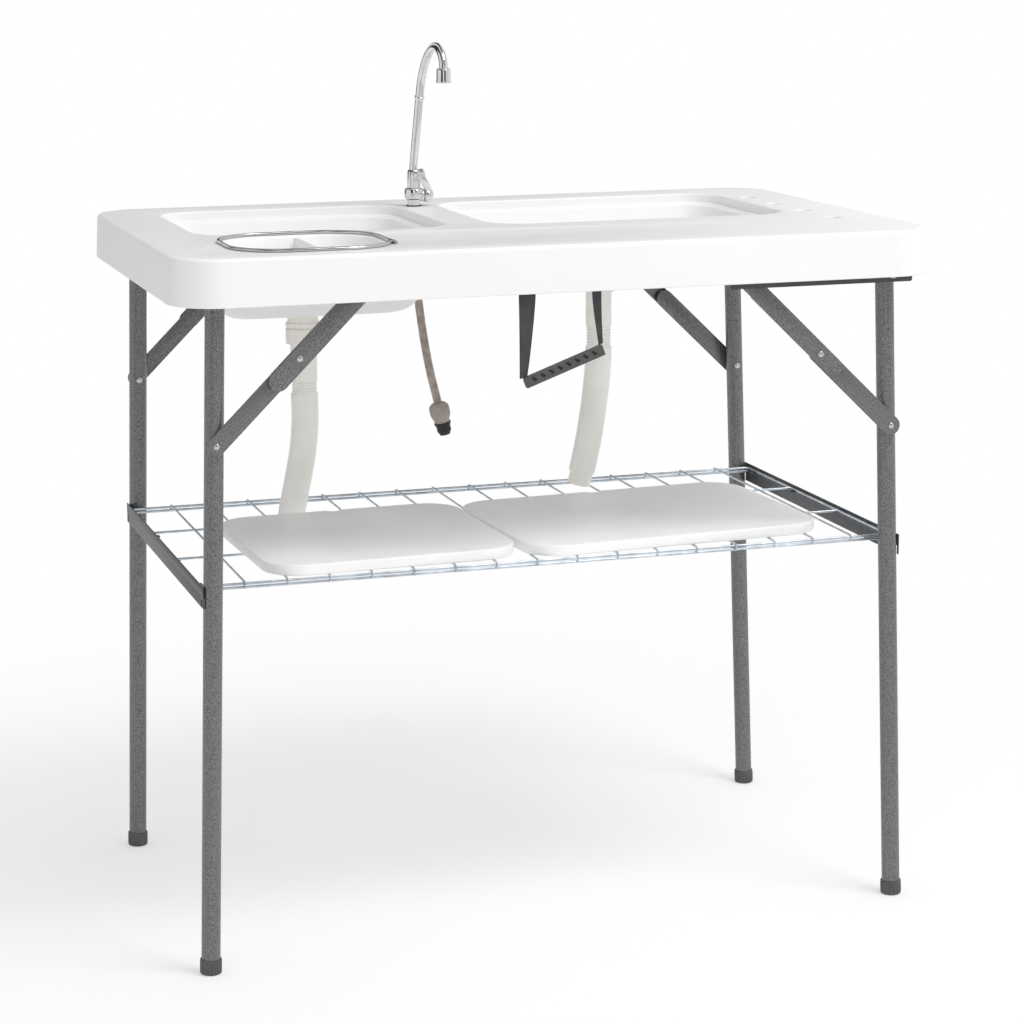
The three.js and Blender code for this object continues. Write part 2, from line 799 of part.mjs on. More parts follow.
// Pin of the upper link: riveted in the rail, with a head inside the folded link
function anchorPin(plan, face) {
  const web = upperLinkOut - upperLinkGauge;
  const pin = (from, to, radius) => crossPin(plan, plan.anchor, face, from, to, radius);
  const tail = lowerLinkOut + seatGap * 2 + rivetDome;
  return union([
    pin(tail, web - seatGap, rivetHead),
    pin(tail, railOut + rivetDome / 2, rivetShank),
    pin(railOut - railGauge / 2, railOut + rivetDome, rivetHead),
  ]);
}

// A link in its own frame: its hinge is at the origin and the other joint lies along +X

function stadium(from, to, halfHeight) {
  const shape = new THREE.Shape();
  shape.moveTo(from, -halfHeight);
  shape.lineTo(to, -halfHeight);
  shape.absarc(to, 0, halfHeight, -Math.PI / 2, Math.PI / 2, false);
  shape.lineTo(from, halfHeight);
  shape.absarc(from, 0, halfHeight, Math.PI / 2, Math.PI * 1.5, false);
  return shape;
}

function pinHole(x, radius) {
  const reach = railOut;
  return bar(point(x, -reach, 0), point(x, reach, 0), radius, coarse);
}

function lowerLink(length, tail, width, face) {
  const shape = stadium(0, length + tail, width / 2);
  const body = sheet(shape, face * lowerLinkIn, face * lowerLinkOut);
  return body.subtract(pinHole(0, rivetShank + runningGap)).subtract(pinHole(length, rivetShank));
}

// The folded link also carries the rivet that joins the two links
function upperLink(length, tail, width, face) {
  const web = upperLinkOut - upperLinkGauge;
  const outline = stadium(0, length + tail, width / 2);
  let body = sheet(outline, face * web, face * upperLinkOut);
  [-1, 1].forEach((edge) => {
    const z = edge * width / 2;
    const inside = edge * (width / 2 - upperLinkGauge);
    body = body.add(block(flangeCutBack, length + tail, Math.min(face * upperLinkIn, face * web),
      Math.max(face * upperLinkIn, face * web), Math.min(z, inside), Math.max(z, inside)));
  });
  const pin = (from, to, radius) => bar(point(length, face * from, 0),
    point(length, face * to, 0), radius, coarse);
  return body.subtract(pinHole(0, rivetShank + runningGap)).add(union([
    pin(upperLinkOut - upperLinkGauge / 2, upperLinkOut + rivetDome, rivetHead),
    pin(lowerLinkOut + seatGap, upperLinkOut, rivetShank),
  ]));
}

function placeLink(name, body, plan, from, to) {
  const mesh = place(name, body, hammerGrey);
  mesh.position.set(plan.side * from.u, 0, from.z);
  mesh.rotation.y = -Math.atan2(to.z - from.z, plan.side * (to.u - from.u));
}

// Wire shelf

const railHalf = plateInner - seatGap - rimWire / 2;
const tipOut = crossWire + rimWire / 2;
const shelfHalfWidth = legY - capRadius - shelfSideGap - tipOut;

function shelfRim() {
  const z = shelfHeight;
  const x = railHalf;
  const y = shelfHalfWidth;
  const r = rimWire / 2;
  const parts = [];
  [-1, 1].forEach((side) => {
    parts.push(bar(point(side * x, -y - r, z), point(side * x, y + r, z), r, wireSides + 1));
    parts.push(bar(point(-x - r, side * y, z), point(x + r, side * y, z), r, wireSides + 1));
    parts.push(bar(point(-x, side * y, z - edgeWireDrop), point(x, side * y, z - edgeWireDrop),
      r, wireSides + 1));
    [-1, 1].forEach((end) => {
      parts.push(bar(point(end * (x - bayLength), side * y, z),
        point(end * (x - bayLength), side * y, z - edgeWireDrop), crossWire / 2, wireSides));
    });
    const runnerY = side * y * 2 * shelfRunnerShare;
    parts.push(bar(point(-x, runnerY, z), point(x, runnerY, z), runnerWire / 2, wireSides));
  });
  return parts;
}

const bayLength = (railHalf * 2) / bayCount;

function shelfCrossWire(x) {
  const r = crossWire / 2;
  const z = shelfHeight + runnerWire / 2 + r - weldDepth;
  const y = shelfHalfWidth + rimWire / 2 + r - weldDepth;
  const low = z - tipLength - rimWire / 2;
  const parts = [bar(point(x, -y - r, z), point(x, y + r, z), r, wireSides)];
  [-1, 1].forEach((side) => {
    parts.push(bar(point(x, side * y, low), point(x, side * y, z + r / 2), r, wireSides));
  });
  return parts;
}

function shelfGrid() {
  const parts = shelfRim();
  for (let i = 1; i < bayCount; i += 1) {
    parts.push(...shelfCrossWire(-railHalf + i * bayLength));
  }
  return union(parts);
}

// A flat end plate: notches hang on the leg pegs, and tabs carry the wires
function endPlate(side) {
  const top = plateBottom + endPlateHeight;
  const reach = legY + tubeRadius;
  const strip = (u0, u1, y0, y1, z0, z1) => block(
    Math.min(side * u0, side * u1), Math.max(side * u0, side * u1), y0, y1, z0, z1,
  );
  let body = strip(plateInner, plateOuter, -reach, reach, plateBottom, top);
  [-1, 1].forEach((face) => {
    const width = pegRadius + seatGap;
    body = body.subtract(strip(plateInner - overrun, plateOuter + overrun,
      face * legY - width, face * legY + width, plateBottom - overrun, pegHeight));
    body = body.subtract(bar(point(side * (plateInner - overrun), face * legY, pegHeight),
      point(side * (plateOuter + overrun), face * legY, pegHeight), width, medium));
  });
  const tabTop = shelfHeight - rimWire / 2 - seatGap;
  shelfTabShares.forEach((share) => {
    const y = share * shelfHalfWidth;
    body = body.add(strip(plateInner - shelfTabLength, plateInner + endPlateGauge / 2,
      y - shelfTabWidth / 2, y + shelfTabWidth / 2, tabTop - endPlateGauge, tabTop));
  });
  return body;
}

// Boards: lids of the basins, laid on the shelf when they are off

function board(length, width) {
  const x = length / 2;
  const y = width / 2;
  const ring = (inset, z) => roundedRing(-x + inset, x - inset, -y + inset, y - inset,
    rebateCorner - boardGap - inset, z);
  const body = loft([
    ring(boardEdge, 0), ring(boardEdge * pinchShare, boardEdge * pinchShare), ring(0, boardEdge),
    ring(0, boardThickness - boardEdge),
    ring(boardEdge * pinchShare, boardThickness - boardEdge * pinchShare),
    ring(boardEdge, boardThickness),
  ]);
  return body.subtract(bar(point(0, y, -overrun), point(0, y, boardThickness + overrun),
    fingerNotchRadius, medium));
}

function placeBoard(name, basin, shift, y, turnShare) {
  const width = rebateBack - rebateFront - boardGap * 2;
  const mesh = place(name, board(basin.x1 - basin.x0 - boardGap * 2, width), boardPlastic);
  const z = shelfHeight + runnerWire / 2 + crossWire - weldDepth + seatGap;
  mesh.position.set(basin.x + shift, y, z);
  mesh.rotation.z = fullTurn * turnShare;
}

// Drain fittings: flange and tail, gasket, lock nut, collar and hose

function drainLevels(basin) {
  const gasketTop = basin.floor - moulding - seatGap;
  const nutTop = gasketTop - drainGasket - seatGap;
  const collarTop = nutTop - locknutHeight - seatGap;
  return { gasketTop, nutTop, collarTop, hoseTop: collarTop - collarHeight - seatGap };
}

function drainBody(basin) {
  const level = drainLevels(basin);
  const seat = basin.floor + seatGap;
  const lip = seat + drainFlange;
  const tailFoot = level.collarTop - collarHeight + overrun * 2;
  const spigotFoot = level.hoseTop - spigotReach;
  const strainerSeat = seat + strainerGauge / 2;
  return turned([
    [drainBore, strainerSeat], [tailRadius + seatGap, strainerSeat], [tailRadius + seatGap, lip],
    [drainFlangeRadius - drainFlange, lip], [drainFlangeRadius, seat], [tailRadius, seat],
    [tailRadius, tailFoot], [spigotRadius, tailFoot], [spigotRadius, spigotFoot],
    [spigotBore, spigotFoot], [spigotBore, tailFoot], [drainBore, tailFoot + overrun],
    [drainBore, strainerSeat],
  ], medium, basin.drainX, basinY);
}

function strainer(basin) {
  const z0 = basin.floor + seatGap + strainerGauge / 2 + seatGap;
  let body = bar(point(basin.drainX, basinY, z0),
    point(basin.drainX, basinY, z0 + strainerGauge), tailRadius - seatGap, medium);
  for (let i = 0; i <= strainerHoleCount; i += 1) {
    const angle = (i / strainerHoleCount) * fullTurn;
    const reach = i < strainerHoleCount ? strainerRing : 0;
    const x = basin.drainX + reach * Math.cos(angle);
    const y = basinY + reach * Math.sin(angle);
    body = body.subtract(bar(point(x, y, z0 - overrun), point(x, y, z0 + overrun * 2),
      strainerHoleRadius, hexSides));
  }
  return body;
}

function drainLocknut(basin) {
  const { nutTop } = drainLevels(basin);
  const low = nutTop - locknutHeight;
  const inner = tailRadius + runningGap;
  return turned([
    [inner, low], [locknutRadius, low], [locknutRadius, low + locknutRim],
    [locknutWaist, low + locknutRim], [locknutWaist, nutTop], [inner, nutTop], [inner, low],
  ], medium, basin.drainX, basinY);
}

function drainCollar(basin) {
  const { collarTop } = drainLevels(basin);
  const low = collarTop - collarHeight;
  const ribs = slab(flutedOutline(collarRadius, collarFlute, collarFluteCount),
    low, collarTop - collarNeck);
  const x = basin.drainX;
  const neck = bar(point(0, 0, low), point(0, 0, collarTop), locknutWaist, medium);
  const bore = bar(point(0, 0, low - overrun), point(0, 0, collarTop + overrun),
    tailRadius + runningGap, medium);
  return ribs.add(neck).subtract(bore).translate([x, basinY, 0]);
}

// The rings of a moulded hose, as pairs of distance along it and outer radius
function hoseProfile(length, cuffLength, ribCount) {
  const rings = [[0, cuffRadius], [cuffLength / 2, cuffRadius], [cuffLength, cuffRadius]];
  for (let i = 0; i < ribCount; i += 1) {
    const start = cuffLength + i * hoseRibPitch;
    rings.push([start + hoseRibPitch * pinchShare, hoseGrooveRadius]);
    rings.push([start + hoseRibPitch * (1 - pinchShare), hoseRibRadius]);
  }
  const ribEnd = cuffLength + ribCount * hoseRibPitch;
  rings.push([ribEnd, hoseGrooveRadius], [ribEnd + hoseRibPitch / 2, hoseRadius]);
  const smooth = length - sleeveLength;
  const steps = Math.ceil((smooth - ribEnd) / hoseRadius);
  for (let i = 1; i <= steps; i += 1) {
    rings.push([ribEnd + hoseRibPitch / 2 + ((smooth - ribEnd - hoseRibPitch / 2) * i) / steps, hoseRadius]);
  }
  rings.push([smooth + hoseRibPitch / 2, sleeveRadius], [length, sleeveRadius]);
  return rings;
}

// An open hose along a route: outer rings, then the bore back to the start
function hose(route, cuffLength, ribCount) {
  const curve = new THREE.CatmullRomCurve3(route, false, 'centripetal');
  const length = curve.getLength();
  const outer = hoseProfile(length, cuffLength, ribCount);
  const inner = outer.filter((_, i) => i === 0 || i === outer.length - 1 || i % hoseBoreStep === 0)
    .map(([s]) => [s, hoseBore]).reverse();
  const sides = coarse;
  const positions = [];
  [...outer, ...inner].forEach(([s, radius]) => {
    const centre = curve.getPointAt(Math.min(s / length, 1));
    const along = curve.getTangentAt(Math.min(s / length, 1));
    const across = new THREE.Vector3(1, 0, 0).addScaledVector(along, -along.x).normalize();
    const beside = new THREE.Vector3().crossVectors(along, across);
    for (let i = 0; i < sides; i += 1) {
      const angle = (i / sides) * fullTurn;
      const spot = centre.clone().addScaledVector(across, radius * Math.cos(angle))
        .addScaledVector(beside, radius * Math.sin(angle));
      positions.push(spot.x, spot.y, spot.z);
    }
  });
  const total = outer.length + inner.length;
  const faces = [];
  for (let k = 0; k < total; k += 1) {
    const next = (k + 1) % total;
    for (let i = 0; i < sides; i += 1) {
      const j = (i + 1) % sides;
      faces.push(k * sides + i, k * sides + j, next * sides + j);
      faces.push(k * sides + i, next * sides + j, next * sides + i);
    }
  }
  const geometry = new THREE.BufferGeometry();
  geometry.setAttribute('position', new THREE.Float32BufferAttribute(positions, 3));
  geometry.setIndex(faces);
  const body = solid(geometry);
  return body.volume() < 0 ? solid(flipped(geometry)) : body;
}

// Tap, at its own origin on the deck

function tapBody() {
  const foot = tapWasher + seatGap * 2;
  const top = foot + tapBodyHeight;
  const shank = seatGap;
  const casting = turned([
    [0, -shankLength], [shankRadius, -shankLength], [shankRadius, foot], [tapFootRadius, foot],
    [tapFootRadius, foot + tapFootHeight], [tapBodyRadius, foot + tapFootHeight * tapNeckShare],
    [tapBodyRadius, top - overrun], [tapBodyRadius - overrun, top], [0, top],
  ], medium);
  const valveZ = foot + valveHeight;
  const valve = bar(point(0, 0, valveZ), point(valveReach, 0, valveZ), valveRadius, medium);
  const bore = bar(point(0, 0, -shankLength - overrun), point(0, 0, shank), shankBore, coarse);
  const socket = bar(point(0, 0, top - overrun * 2), point(0, 0, top + overrun),
    spoutRadius + runningGap, medium);
  return casting.add(valve).subtract(bore).subtract(socket);
}

function shankNut(topZ) {
  const at = (z) => point(0, 0, z);
  const low = topZ - shankNutHeight;
  return bar(at(low), at(topZ), shankNutRadius, hexSides)
    .subtract(bar(at(low - overrun), at(topZ + overrun), shankRadius + seatGap, medium));
}

const tapTop = tapWasher + seatGap * 2 + tapBodyHeight;
const valveZ = tapWasher + seatGap * 2 + valveHeight;
const hubX = valveReach + seatGap + leverBallRadius * hubShare;

// The lever: a hub cut flat at the valve, and a broad blade that rises in front of the nut
function tapLever() {
  const ball = solid(new THREE.SphereGeometry(leverBallRadius, medium, coarse)
    .translate(hubX, 0, valveZ));
  const reach = leverBallRadius * 2;
  const face = block(-reach, valveReach + seatGap, -reach, reach, valveZ - reach, valveZ + reach);
  const blade = loft(leverShares.map(([inner, outer, forward, up]) => {
    const x0 = hubX + leverBallRadius * inner;
    const x1 = hubX + leverBallRadius * outer;
    const front = leverRise * forward - leverGauge / 2;
    const back = leverRise * forward + leverGauge / 2;
    const z = valveZ + leverRise * up;
    return [[x0, front, z], [x1, front, z], [x1, back, z], [x0, back, z]];
  }));
  return ball.subtract(face).add(blade);
}

function spoutNut() {
  const nut = slab(flutedOutline(nutRadius, nutFlute, nutFluteCount), tapTop + seatGap,
    tapTop + nutHeight);
  return nut.subtract(bar(point(0, 0, tapTop - overrun), point(0, 0, tapTop + nutHeight + overrun),
    spoutRadius + runningGap, medium));
}

// The gooseneck leaves the nut upwards and ends pointing down over the deck
function spoutRoute(extra) {
  const spots = spoutShares.map(([reach, rise]) => point(0, -spoutReach * reach,
    tapTop - overrun + (spoutRise - tapTop + overrun) * rise));
  if (extra > 0) {
    spots.unshift(spots[0].clone().add(point(0, 0, -extra)));
    spots.push(spots[spots.length - 1].clone().add(point(0, 0, -extra)));
  }
  return new THREE.CatmullRomCurve3(spots, false, 'centripetal');
}

function spout() {
  const pipe = wire(spoutRoute(0), spoutRadius, fine, coarse);
  const [seamStart, seamEnd] = seamShares.map((share) => spoutRoute(0).getPointAt(share));
  const seam = bar(seamStart, seamEnd, seamRadius, medium);
  return pipe.add(seam).subtract(wire(spoutRoute(overrun), spoutBore, fine, coarse));
}

function spoutNozzle() {
  const end = spoutRoute(0).points[spoutShares.length - 1];
  const top = end.z + nozzleCover;
  const low = top - nozzleHeight;
  const inner = spoutRadius + seatGap * 2;
  const shelf = end.z - seatGap * 2;
  return turned([
    [nozzleBore, low], [nozzleMouth, low], [nozzleMouth, low + nozzleLip], [nozzleRadius, low + nozzleTaper],
    [nozzleRadius, top - overrun], [nozzleRadius - overrun, top], [inner, top], [inner, shelf],
    [spoutBore, shelf], [spoutBore, shelf - overrun], [nozzleBore, shelf - overrun * 2],
    [nozzleBore, low],
  ], medium, 0, end.y);
}

// Hose from the shank to a coupling and a plastic adapter that hang under the deck
const ferruleTop = deckHeight - shankLength - seatGap;
const supplyEnd = new THREE.Vector3(tapX + supplySway, tapY, deckHeight - supplyDrop);
const supplyAngle = fullTurn * supplyTurnShare;
const supplyLean = new THREE.Vector3(Math.sin(supplyAngle), 0, -Math.cos(supplyAngle));

function supplyHose() {
  const top = ferruleTop - ferruleHeight - seatGap;
  const route = supplyShares.map(([sway, drop]) => point(
    tapX + supplySway * sway, tapY, top + (supplyEnd.z - top) * drop,
  ));
  route.push(supplyEnd.clone().addScaledVector(supplyLean, -supplyRadius * 2), supplyEnd);
  return wire(new THREE.CatmullRomCurve3(route, false, 'centripetal'), supplyRadius, fine, coarse);
}

function supplyCoupling() {
  const shape = flutedOutline(couplingRadius, couplingFlute, couplingFluteCount);
  const body = slab(shape, -seatGap - couplingHeight, -seatGap);
  return body.subtract(bar(point(0, 0, -seatGap - couplingHeight - overrun),
    point(0, 0, -couplingHeight / 2), adapterRadius * couplingBoreShare, medium));
}

function hoseAdapter() {
  const top = -seatGap * 2 - couplingHeight;
  const low = top - adapterHeight;
  return turned([
    [adapterBore, low], [adapterTipRadius, low], [adapterTipRadius, low + overrun],
    [adapterRadius, low + adapterHeight * pinchShare], [adapterRadius + overrun, top - overrun],
    [adapterRadius + overrun, top], [adapterBore, top], [adapterBore, low],
  ], medium);
}

// Stainless ring round the tray

function bagRing() {
  const out = ringMargin;
  const r = ringWire / 2;
  const z = deckHeight + seatGap + r;
  const path = roundedRing(tray.x0 - out, tray.x1 + out, tray.y0 - out, tray.y1 + out,
    trayCorner + out, z, edgeSteps);
  const positions = [];
  path.forEach(([x, y], k) => {
    const before = path[(k + path.length - 1) % path.length];
    const after = path[(k + 1) % path.length];
    const along = new THREE.Vector3(after[0] - before[0], after[1] - before[1], 0).normalize();
    for (let i = 0; i < hexSides; i += 1) {
      const angle = (i / hexSides) * fullTurn;
      positions.push(x + along.y * r * Math.cos(angle), y - along.x * r * Math.cos(angle),
        z + r * Math.sin(angle));
    }
  });
  const faces = [];
  for (let k = 0; k < path.length; k += 1) {
    const next = (k + 1) % path.length;
    for (let i = 0; i < hexSides; i += 1) {
      const j = (i + 1) % hexSides;
      const corners = [k * hexSides + i, next * hexSides + i, next * hexSides + j, k * hexSides + j];
      faces.push(corners[0], corners[1], corners[2], corners[0], corners[2], corners[3]);
    }
  }
  const geometry = new THREE.BufferGeometry();
  geometry.setAttribute('position', new THREE.Float32BufferAttribute(positions, 3));
  geometry.setIndex(faces);
  let loop = solid(geometry);
  if (loop.volume() < 0) loop = solid(flipped(geometry));
  const corner = point(tray.x1 + out, tray.y0 + trayCorner, z);
  return loop.add(bar(corner, point(corner.x + r, corner.y - ringTail * 2, z), r, hexSides));
}

// Handle

const strapHang = skirtFoot - strapGauge * 2;
const anchorLow = strapHang + strapGauge / 2 + seatGap;
const strapLow = strapY - strapGauge / 2;
const strapHigh = strapY + strapGauge / 2;

function strapWall(z) {
  const share = (deckHeight - edgeRadius - z) / (skirtHeight - edgeRadius);
  return -(halfWidth + skirtFlare * share - shellWall);
}

function strapScrew(x) {
  const z = strapHang + anchorHeight / 2;
  const at = (y) => point(x, y, z);
  return bar(at(strapHigh + screwHeadHeight), at(strapY), screwHeadRadius, coarse)
    .add(bar(at(strapY), at(strapWall(z) - screwBite), screwRadius, coarse));
}

function strapHole(x) {
  const z = strapHang + anchorHeight / 2;
  return bar(point(x, strapHigh + overrun, z), point(x, strapWall(z) - screwBite - seatGap, z),
    screwRadius + seatGap, coarse);
}

function strapAnchor(x, width) {
  return block(x - width / 2, x + width / 2, strapLow, strapHigh, anchorLow,
    strapHang + anchorHeight).add(strapScrew(x));
}

const gripLeft = { x: leftStrapX - strapFootShift, z: strapHang - leftStrapLength };
const gripRight = { x: rightStrapX + strapFootShift, z: strapHang - rightStrapLength };
const gripSlope = (gripRight.z - gripLeft.z) / (gripRight.x - gripLeft.x);

// A strap below its hinge line, with a round end that turns under the anchor
function strapTail(x, width, foot) {
  const half = (width * strapFootShare) / 2;
  const line = (u) => gripLeft.z + gripSlope * (u - gripLeft.x) + seatGap;
  const shape = new THREE.Shape();
  shape.moveTo(x - width / 2, strapHang);
  shape.quadraticCurveTo(x - width / 2, (strapHang + foot.z) / 2, foot.x - half, line(foot.x - half));
  shape.lineTo(foot.x + half, line(foot.x + half));
  shape.quadraticCurveTo(x + width / 2, (strapHang + foot.z) / 2, x + width / 2, strapHang);
  const knuckle = bar(point(x - width / 2, strapY, strapHang), point(x + width / 2, strapY, strapHang),
    strapGauge / 2, medium);
  return sheet(shape, strapLow, strapHigh).add(knuckle);
}

// The grip in its own frame: its top edge lies along X and its middle is at the origin
function handleGrip() {
  const length = Math.hypot(gripRight.x - gripLeft.x, gripRight.z - gripLeft.z) + gripOverhang * 2;
  const half = length / 2;
  const ring = (inset, y) => roundedRing(-half + inset, half - inset, -gripHeight + inset, -inset,
    gripCorner - inset, y).map(([x, z, depth]) => [x, -depth, z]);
  const shallow = gripGauge * pinchShare / 2;
  let body = loft([
    ring(shallow, -gripGauge / 2), ring(0, shallow - gripGauge / 2),
    ring(0, gripGauge / 2 - shallow), ring(shallow, gripGauge / 2),
  ]);
  const pitch = (length - gripHeight) / gripSlotCount;
  for (let i = 0; i < gripSlotCount; i += 1) {
    const x = -half + gripHeight / 2 + pitch * (i + 1 / 2);
    const slot = pitch * gripSlotShare / 2;
    body = body.subtract(block(x - slot, x + slot, -gripGauge, gripSlotDepth - gripGauge / 2,
      -gripHeight * (1 - pinchShare / 2), -gripHeight * pinchShare / 2));
  }
  return body;
}

// Assembly

let top = tableTop();
[leftStrapX, rightStrapX].forEach((x) => {
  top = top.subtract(strapHole(x));
});
place('table_top', top, whitePlastic);

const faces = [{ name: 'front', face: -1 }, { name: 'back', face: 1 }];
const sides = [{ name: 'left', plan: leftPlan }, { name: 'right', plan: rightPlan }];
const everyCorner = sides.flatMap((side) => faces.map((face) => ({
  name: `${side.name}_${face.name}`, plan: side.plan, face: face.face,
})));

everyCorner.forEach(({ name, plan, face }) => {
  place(`${name}_rail`, rail(plan, face), darkGrey);
  place(`${name}_pivot_bolt`, pivotBolt(plan, face), brightSteel);
  place(`${name}_foot_cap`, footCap(plan, face), footPlastic);
  const leftSide = plan.side < 0;
  const upperTail = leftSide ? leftUpperTail : rightUpperTail;
  const lowerTail = leftSide ? narrowLink / 2 : rightLowerTail;
  const upperWidth = leftSide ? wideLink : narrowLink;
  const lowerWidth = leftSide ? narrowLink : wideLink;
  placeLink(`${name}_upper_link`, upperLink(plan.upper, upperTail - narrowLink / 2, upperWidth, face),
    plan, plan.anchor, plan.middle);
  placeLink(`${name}_lower_link`, lowerLink(plan.lower, lowerTail - narrowLink / 2, lowerWidth, face),
    plan, plan.rivet, plan.middle);
});

sides.forEach(({ name, plan }) => {
  place(`${name}_leg_frame`, legFrame(plan), hammerGrey);
  place(`${name}_end_plate`, endPlate(plan.side), darkGrey);
});

place('shelf_grid', shelfGrid(), zincWire);
placeBoard('left_board', leftRebate, leftBoardShift, leftBoardBack, leftBoardTurnShare);
placeBoard('right_board', rightRebate, rightBoardShift, rightBoardBack, rightBoardTurnShare);

[{ name: 'left', basin: leftRebate, cuff: leftCuffLength, ribs: leftRibCount, route: leftHoseRoute },
  { name: 'right', basin: rightRebate, cuff: rightCuffLength, ribs: rightRibCount, route: rightHoseRoute },
].forEach(({ name, basin, cuff, ribs, route }) => {
  const level = drainLevels(basin);
  const around = (outer, inner, low, high) => sleeve(outer, inner, low, high, medium, basin.drainX, basinY);
  place(`${name}_strainer`, strainer(basin), brightSteel);
  place(`${name}_drain_body`, drainBody(basin), ivoryPlastic);
  place(`${name}_drain_gasket`, around(locknutRadius, tailRadius + runningGap,
    level.gasketTop - drainGasket, level.gasketTop), rubber);
  place(`${name}_drain_locknut`, drainLocknut(basin), ivoryPlastic);
  place(`${name}_drain_collar`, drainCollar(basin), ivoryPlastic);
  const start = point(basin.drainX, basinY, level.hoseTop);
  place(`${name}_drain_hose`, hose([start, ...route.map((spot) => point(...spot))], cuff, ribs), hosePlastic);
});

const tap = new THREE.Group();
tap.position.set(tapX, tapY, deckHeight);
table.add(tap);
place('tap_washer', sleeve(tapWasherRadius, shankRadius + seatGap, seatGap, seatGap + tapWasher, medium),
  rubber, tap);
place('tap_body', tapBody(), chrome, tap);
place('tap_lever', tapLever(), chrome, tap);
place('spout_nut', spoutNut(), chrome, tap);
const turning = new THREE.Group();
turning.rotation.z = fullTurn * spoutTurnShare;
tap.add(turning);
place('spout', spout(), chrome, turning);
place('spout_nozzle', spoutNozzle(), chrome, turning);
const shankSeat = -shellWall - seatGap;
place('shank_washer', sleeve(shankWasherRadius, shankRadius + seatGap, shankSeat - shankWasher,
  shankSeat, medium), brightSteel, tap);
place('shank_nut', shankNut(shankSeat - shankWasher - seatGap), brass, tap);
place('supply_ferrule', bar(point(0, 0, ferruleTop - deckHeight - ferruleHeight),
  point(0, 0, ferruleTop - deckHeight), ferruleRadius, medium), brightSteel, tap);
place('supply_hose', supplyHose(), braidedSteel);
const supply = new THREE.Group();
supply.position.copy(supplyEnd);
supply.rotation.y = -supplyAngle;
table.add(supply);
place('supply_coupling', supplyCoupling(), darkGrey, supply);
place('hose_adapter', hoseAdapter(), blackPlastic, supply);

place('bag_ring', bagRing(), brightSteel);

[{ name: 'left', x: leftStrapX, width: leftStrapWidth, foot: gripLeft },
  { name: 'right', x: rightStrapX, width: rightStrapWidth, foot: gripRight },
].forEach(({ name, x, width, foot }) => {
  place(`${name}_strap_anchor`, strapAnchor(x, width), webbing);
  place(`${name}_strap`, strapTail(x, width, foot), webbing);
});
const grip = place('handle_grip', handleGrip(), gripPlastic);
grip.position.set((gripLeft.x + gripRight.x) / 2, strapY, (gripLeft.z + gripRight.z) / 2);
grip.rotation.y = -Math.atan(gripSlope);

export default table;
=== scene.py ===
import bmesh
import bpy
from math import atan, copysign, cos, hypot, pi, radians, sin, tau
from mathutils import Matrix, Vector


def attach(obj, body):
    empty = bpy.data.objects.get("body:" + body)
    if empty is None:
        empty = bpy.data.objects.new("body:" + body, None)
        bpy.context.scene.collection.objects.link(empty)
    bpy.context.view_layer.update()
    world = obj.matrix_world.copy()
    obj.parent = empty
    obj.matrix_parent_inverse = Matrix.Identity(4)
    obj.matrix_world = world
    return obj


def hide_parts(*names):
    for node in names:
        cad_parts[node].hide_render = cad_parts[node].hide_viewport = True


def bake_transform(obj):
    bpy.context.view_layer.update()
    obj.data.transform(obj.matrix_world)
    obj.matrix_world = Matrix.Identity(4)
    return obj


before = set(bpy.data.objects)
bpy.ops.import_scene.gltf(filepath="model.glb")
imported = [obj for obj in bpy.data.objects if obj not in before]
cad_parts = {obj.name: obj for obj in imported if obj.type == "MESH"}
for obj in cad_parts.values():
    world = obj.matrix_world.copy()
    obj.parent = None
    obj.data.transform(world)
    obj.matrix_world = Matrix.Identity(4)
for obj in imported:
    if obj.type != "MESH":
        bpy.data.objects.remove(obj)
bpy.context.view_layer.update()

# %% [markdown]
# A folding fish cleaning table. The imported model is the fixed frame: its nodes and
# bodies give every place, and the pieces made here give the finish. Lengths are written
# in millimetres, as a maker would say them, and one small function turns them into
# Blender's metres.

MM = 0.001


def mm(x, y, z):
    return Vector((x, y, z)) * MM


def show(name, data):
    """A new object in the scene."""
    made = bpy.data.objects.new(name, data)
    bpy.context.scene.collection.objects.link(made)
    return made


def arc(count, angle=pi / 2):
    """The cosine and sine of even steps through an angle, a quarter turn if none is named."""
    turns = [i / count * angle for i in range(count + 1)]
    return [(cos(a), sin(a)) for a in turns]


# %% [markdown]
# The photograph was taken with a long lens from the front left, a little above the
# deck. The camera is built from its place, its two turns and a very small roll, so that
# every line of the picture can be laid over the photograph.

# %% Camera
camera_place = mm(-1129.88, -3662.60, 1336.86)
camera_yaw = radians(17.376)
camera_pitch = radians(11.936)
camera_roll = radians(-0.376)

camera_data = bpy.data.cameras.new("camera")
camera_data.lens = 97.59
camera_data.sensor_width = 36
camera_data.sensor_height = 36
camera_data.clip_end = 50
camera = show("camera", camera_data)
camera.matrix_world = (Matrix.Translation(camera_place) @ Matrix.Rotation(-camera_yaw, 4, "Z")
                       @ Matrix.Rotation(pi / 2 - camera_pitch, 4, "X")
                       @ Matrix.Rotation(camera_roll, 4, "Z"))
bpy.context.scene.camera = camera
print("camera at", [round(v, 3) for v in camera.location])

# %% [markdown]
# Materials come before shapes, because each piece takes its finish by the name of its
# slot. Effects that several finishes share are node groups: a fine grain that tilts the
# surface, and a slow drift of tone, since no real part has one even colour.

# %% Node helpers and shared shader groups


def put(node, inputs):
    """Sets the inputs of a node: another node's output is linked, and all else is a value."""
    for socket, value in dict(inputs).items():
        if isinstance(value, bpy.types.NodeSocket):
            node.id_data.links.new(value, node.inputs[socket])
        else:
            node.inputs[socket].default_value = value
    return node.outputs


def add(tree, kind, inputs=(), **settings):
    """A new shader node with its settings and inputs, of which the outputs are kept."""
    node = tree.nodes.new("ShaderNode" + kind)
    for name, value in settings.items():
        setattr(node, name, value)
    return put(node, inputs)


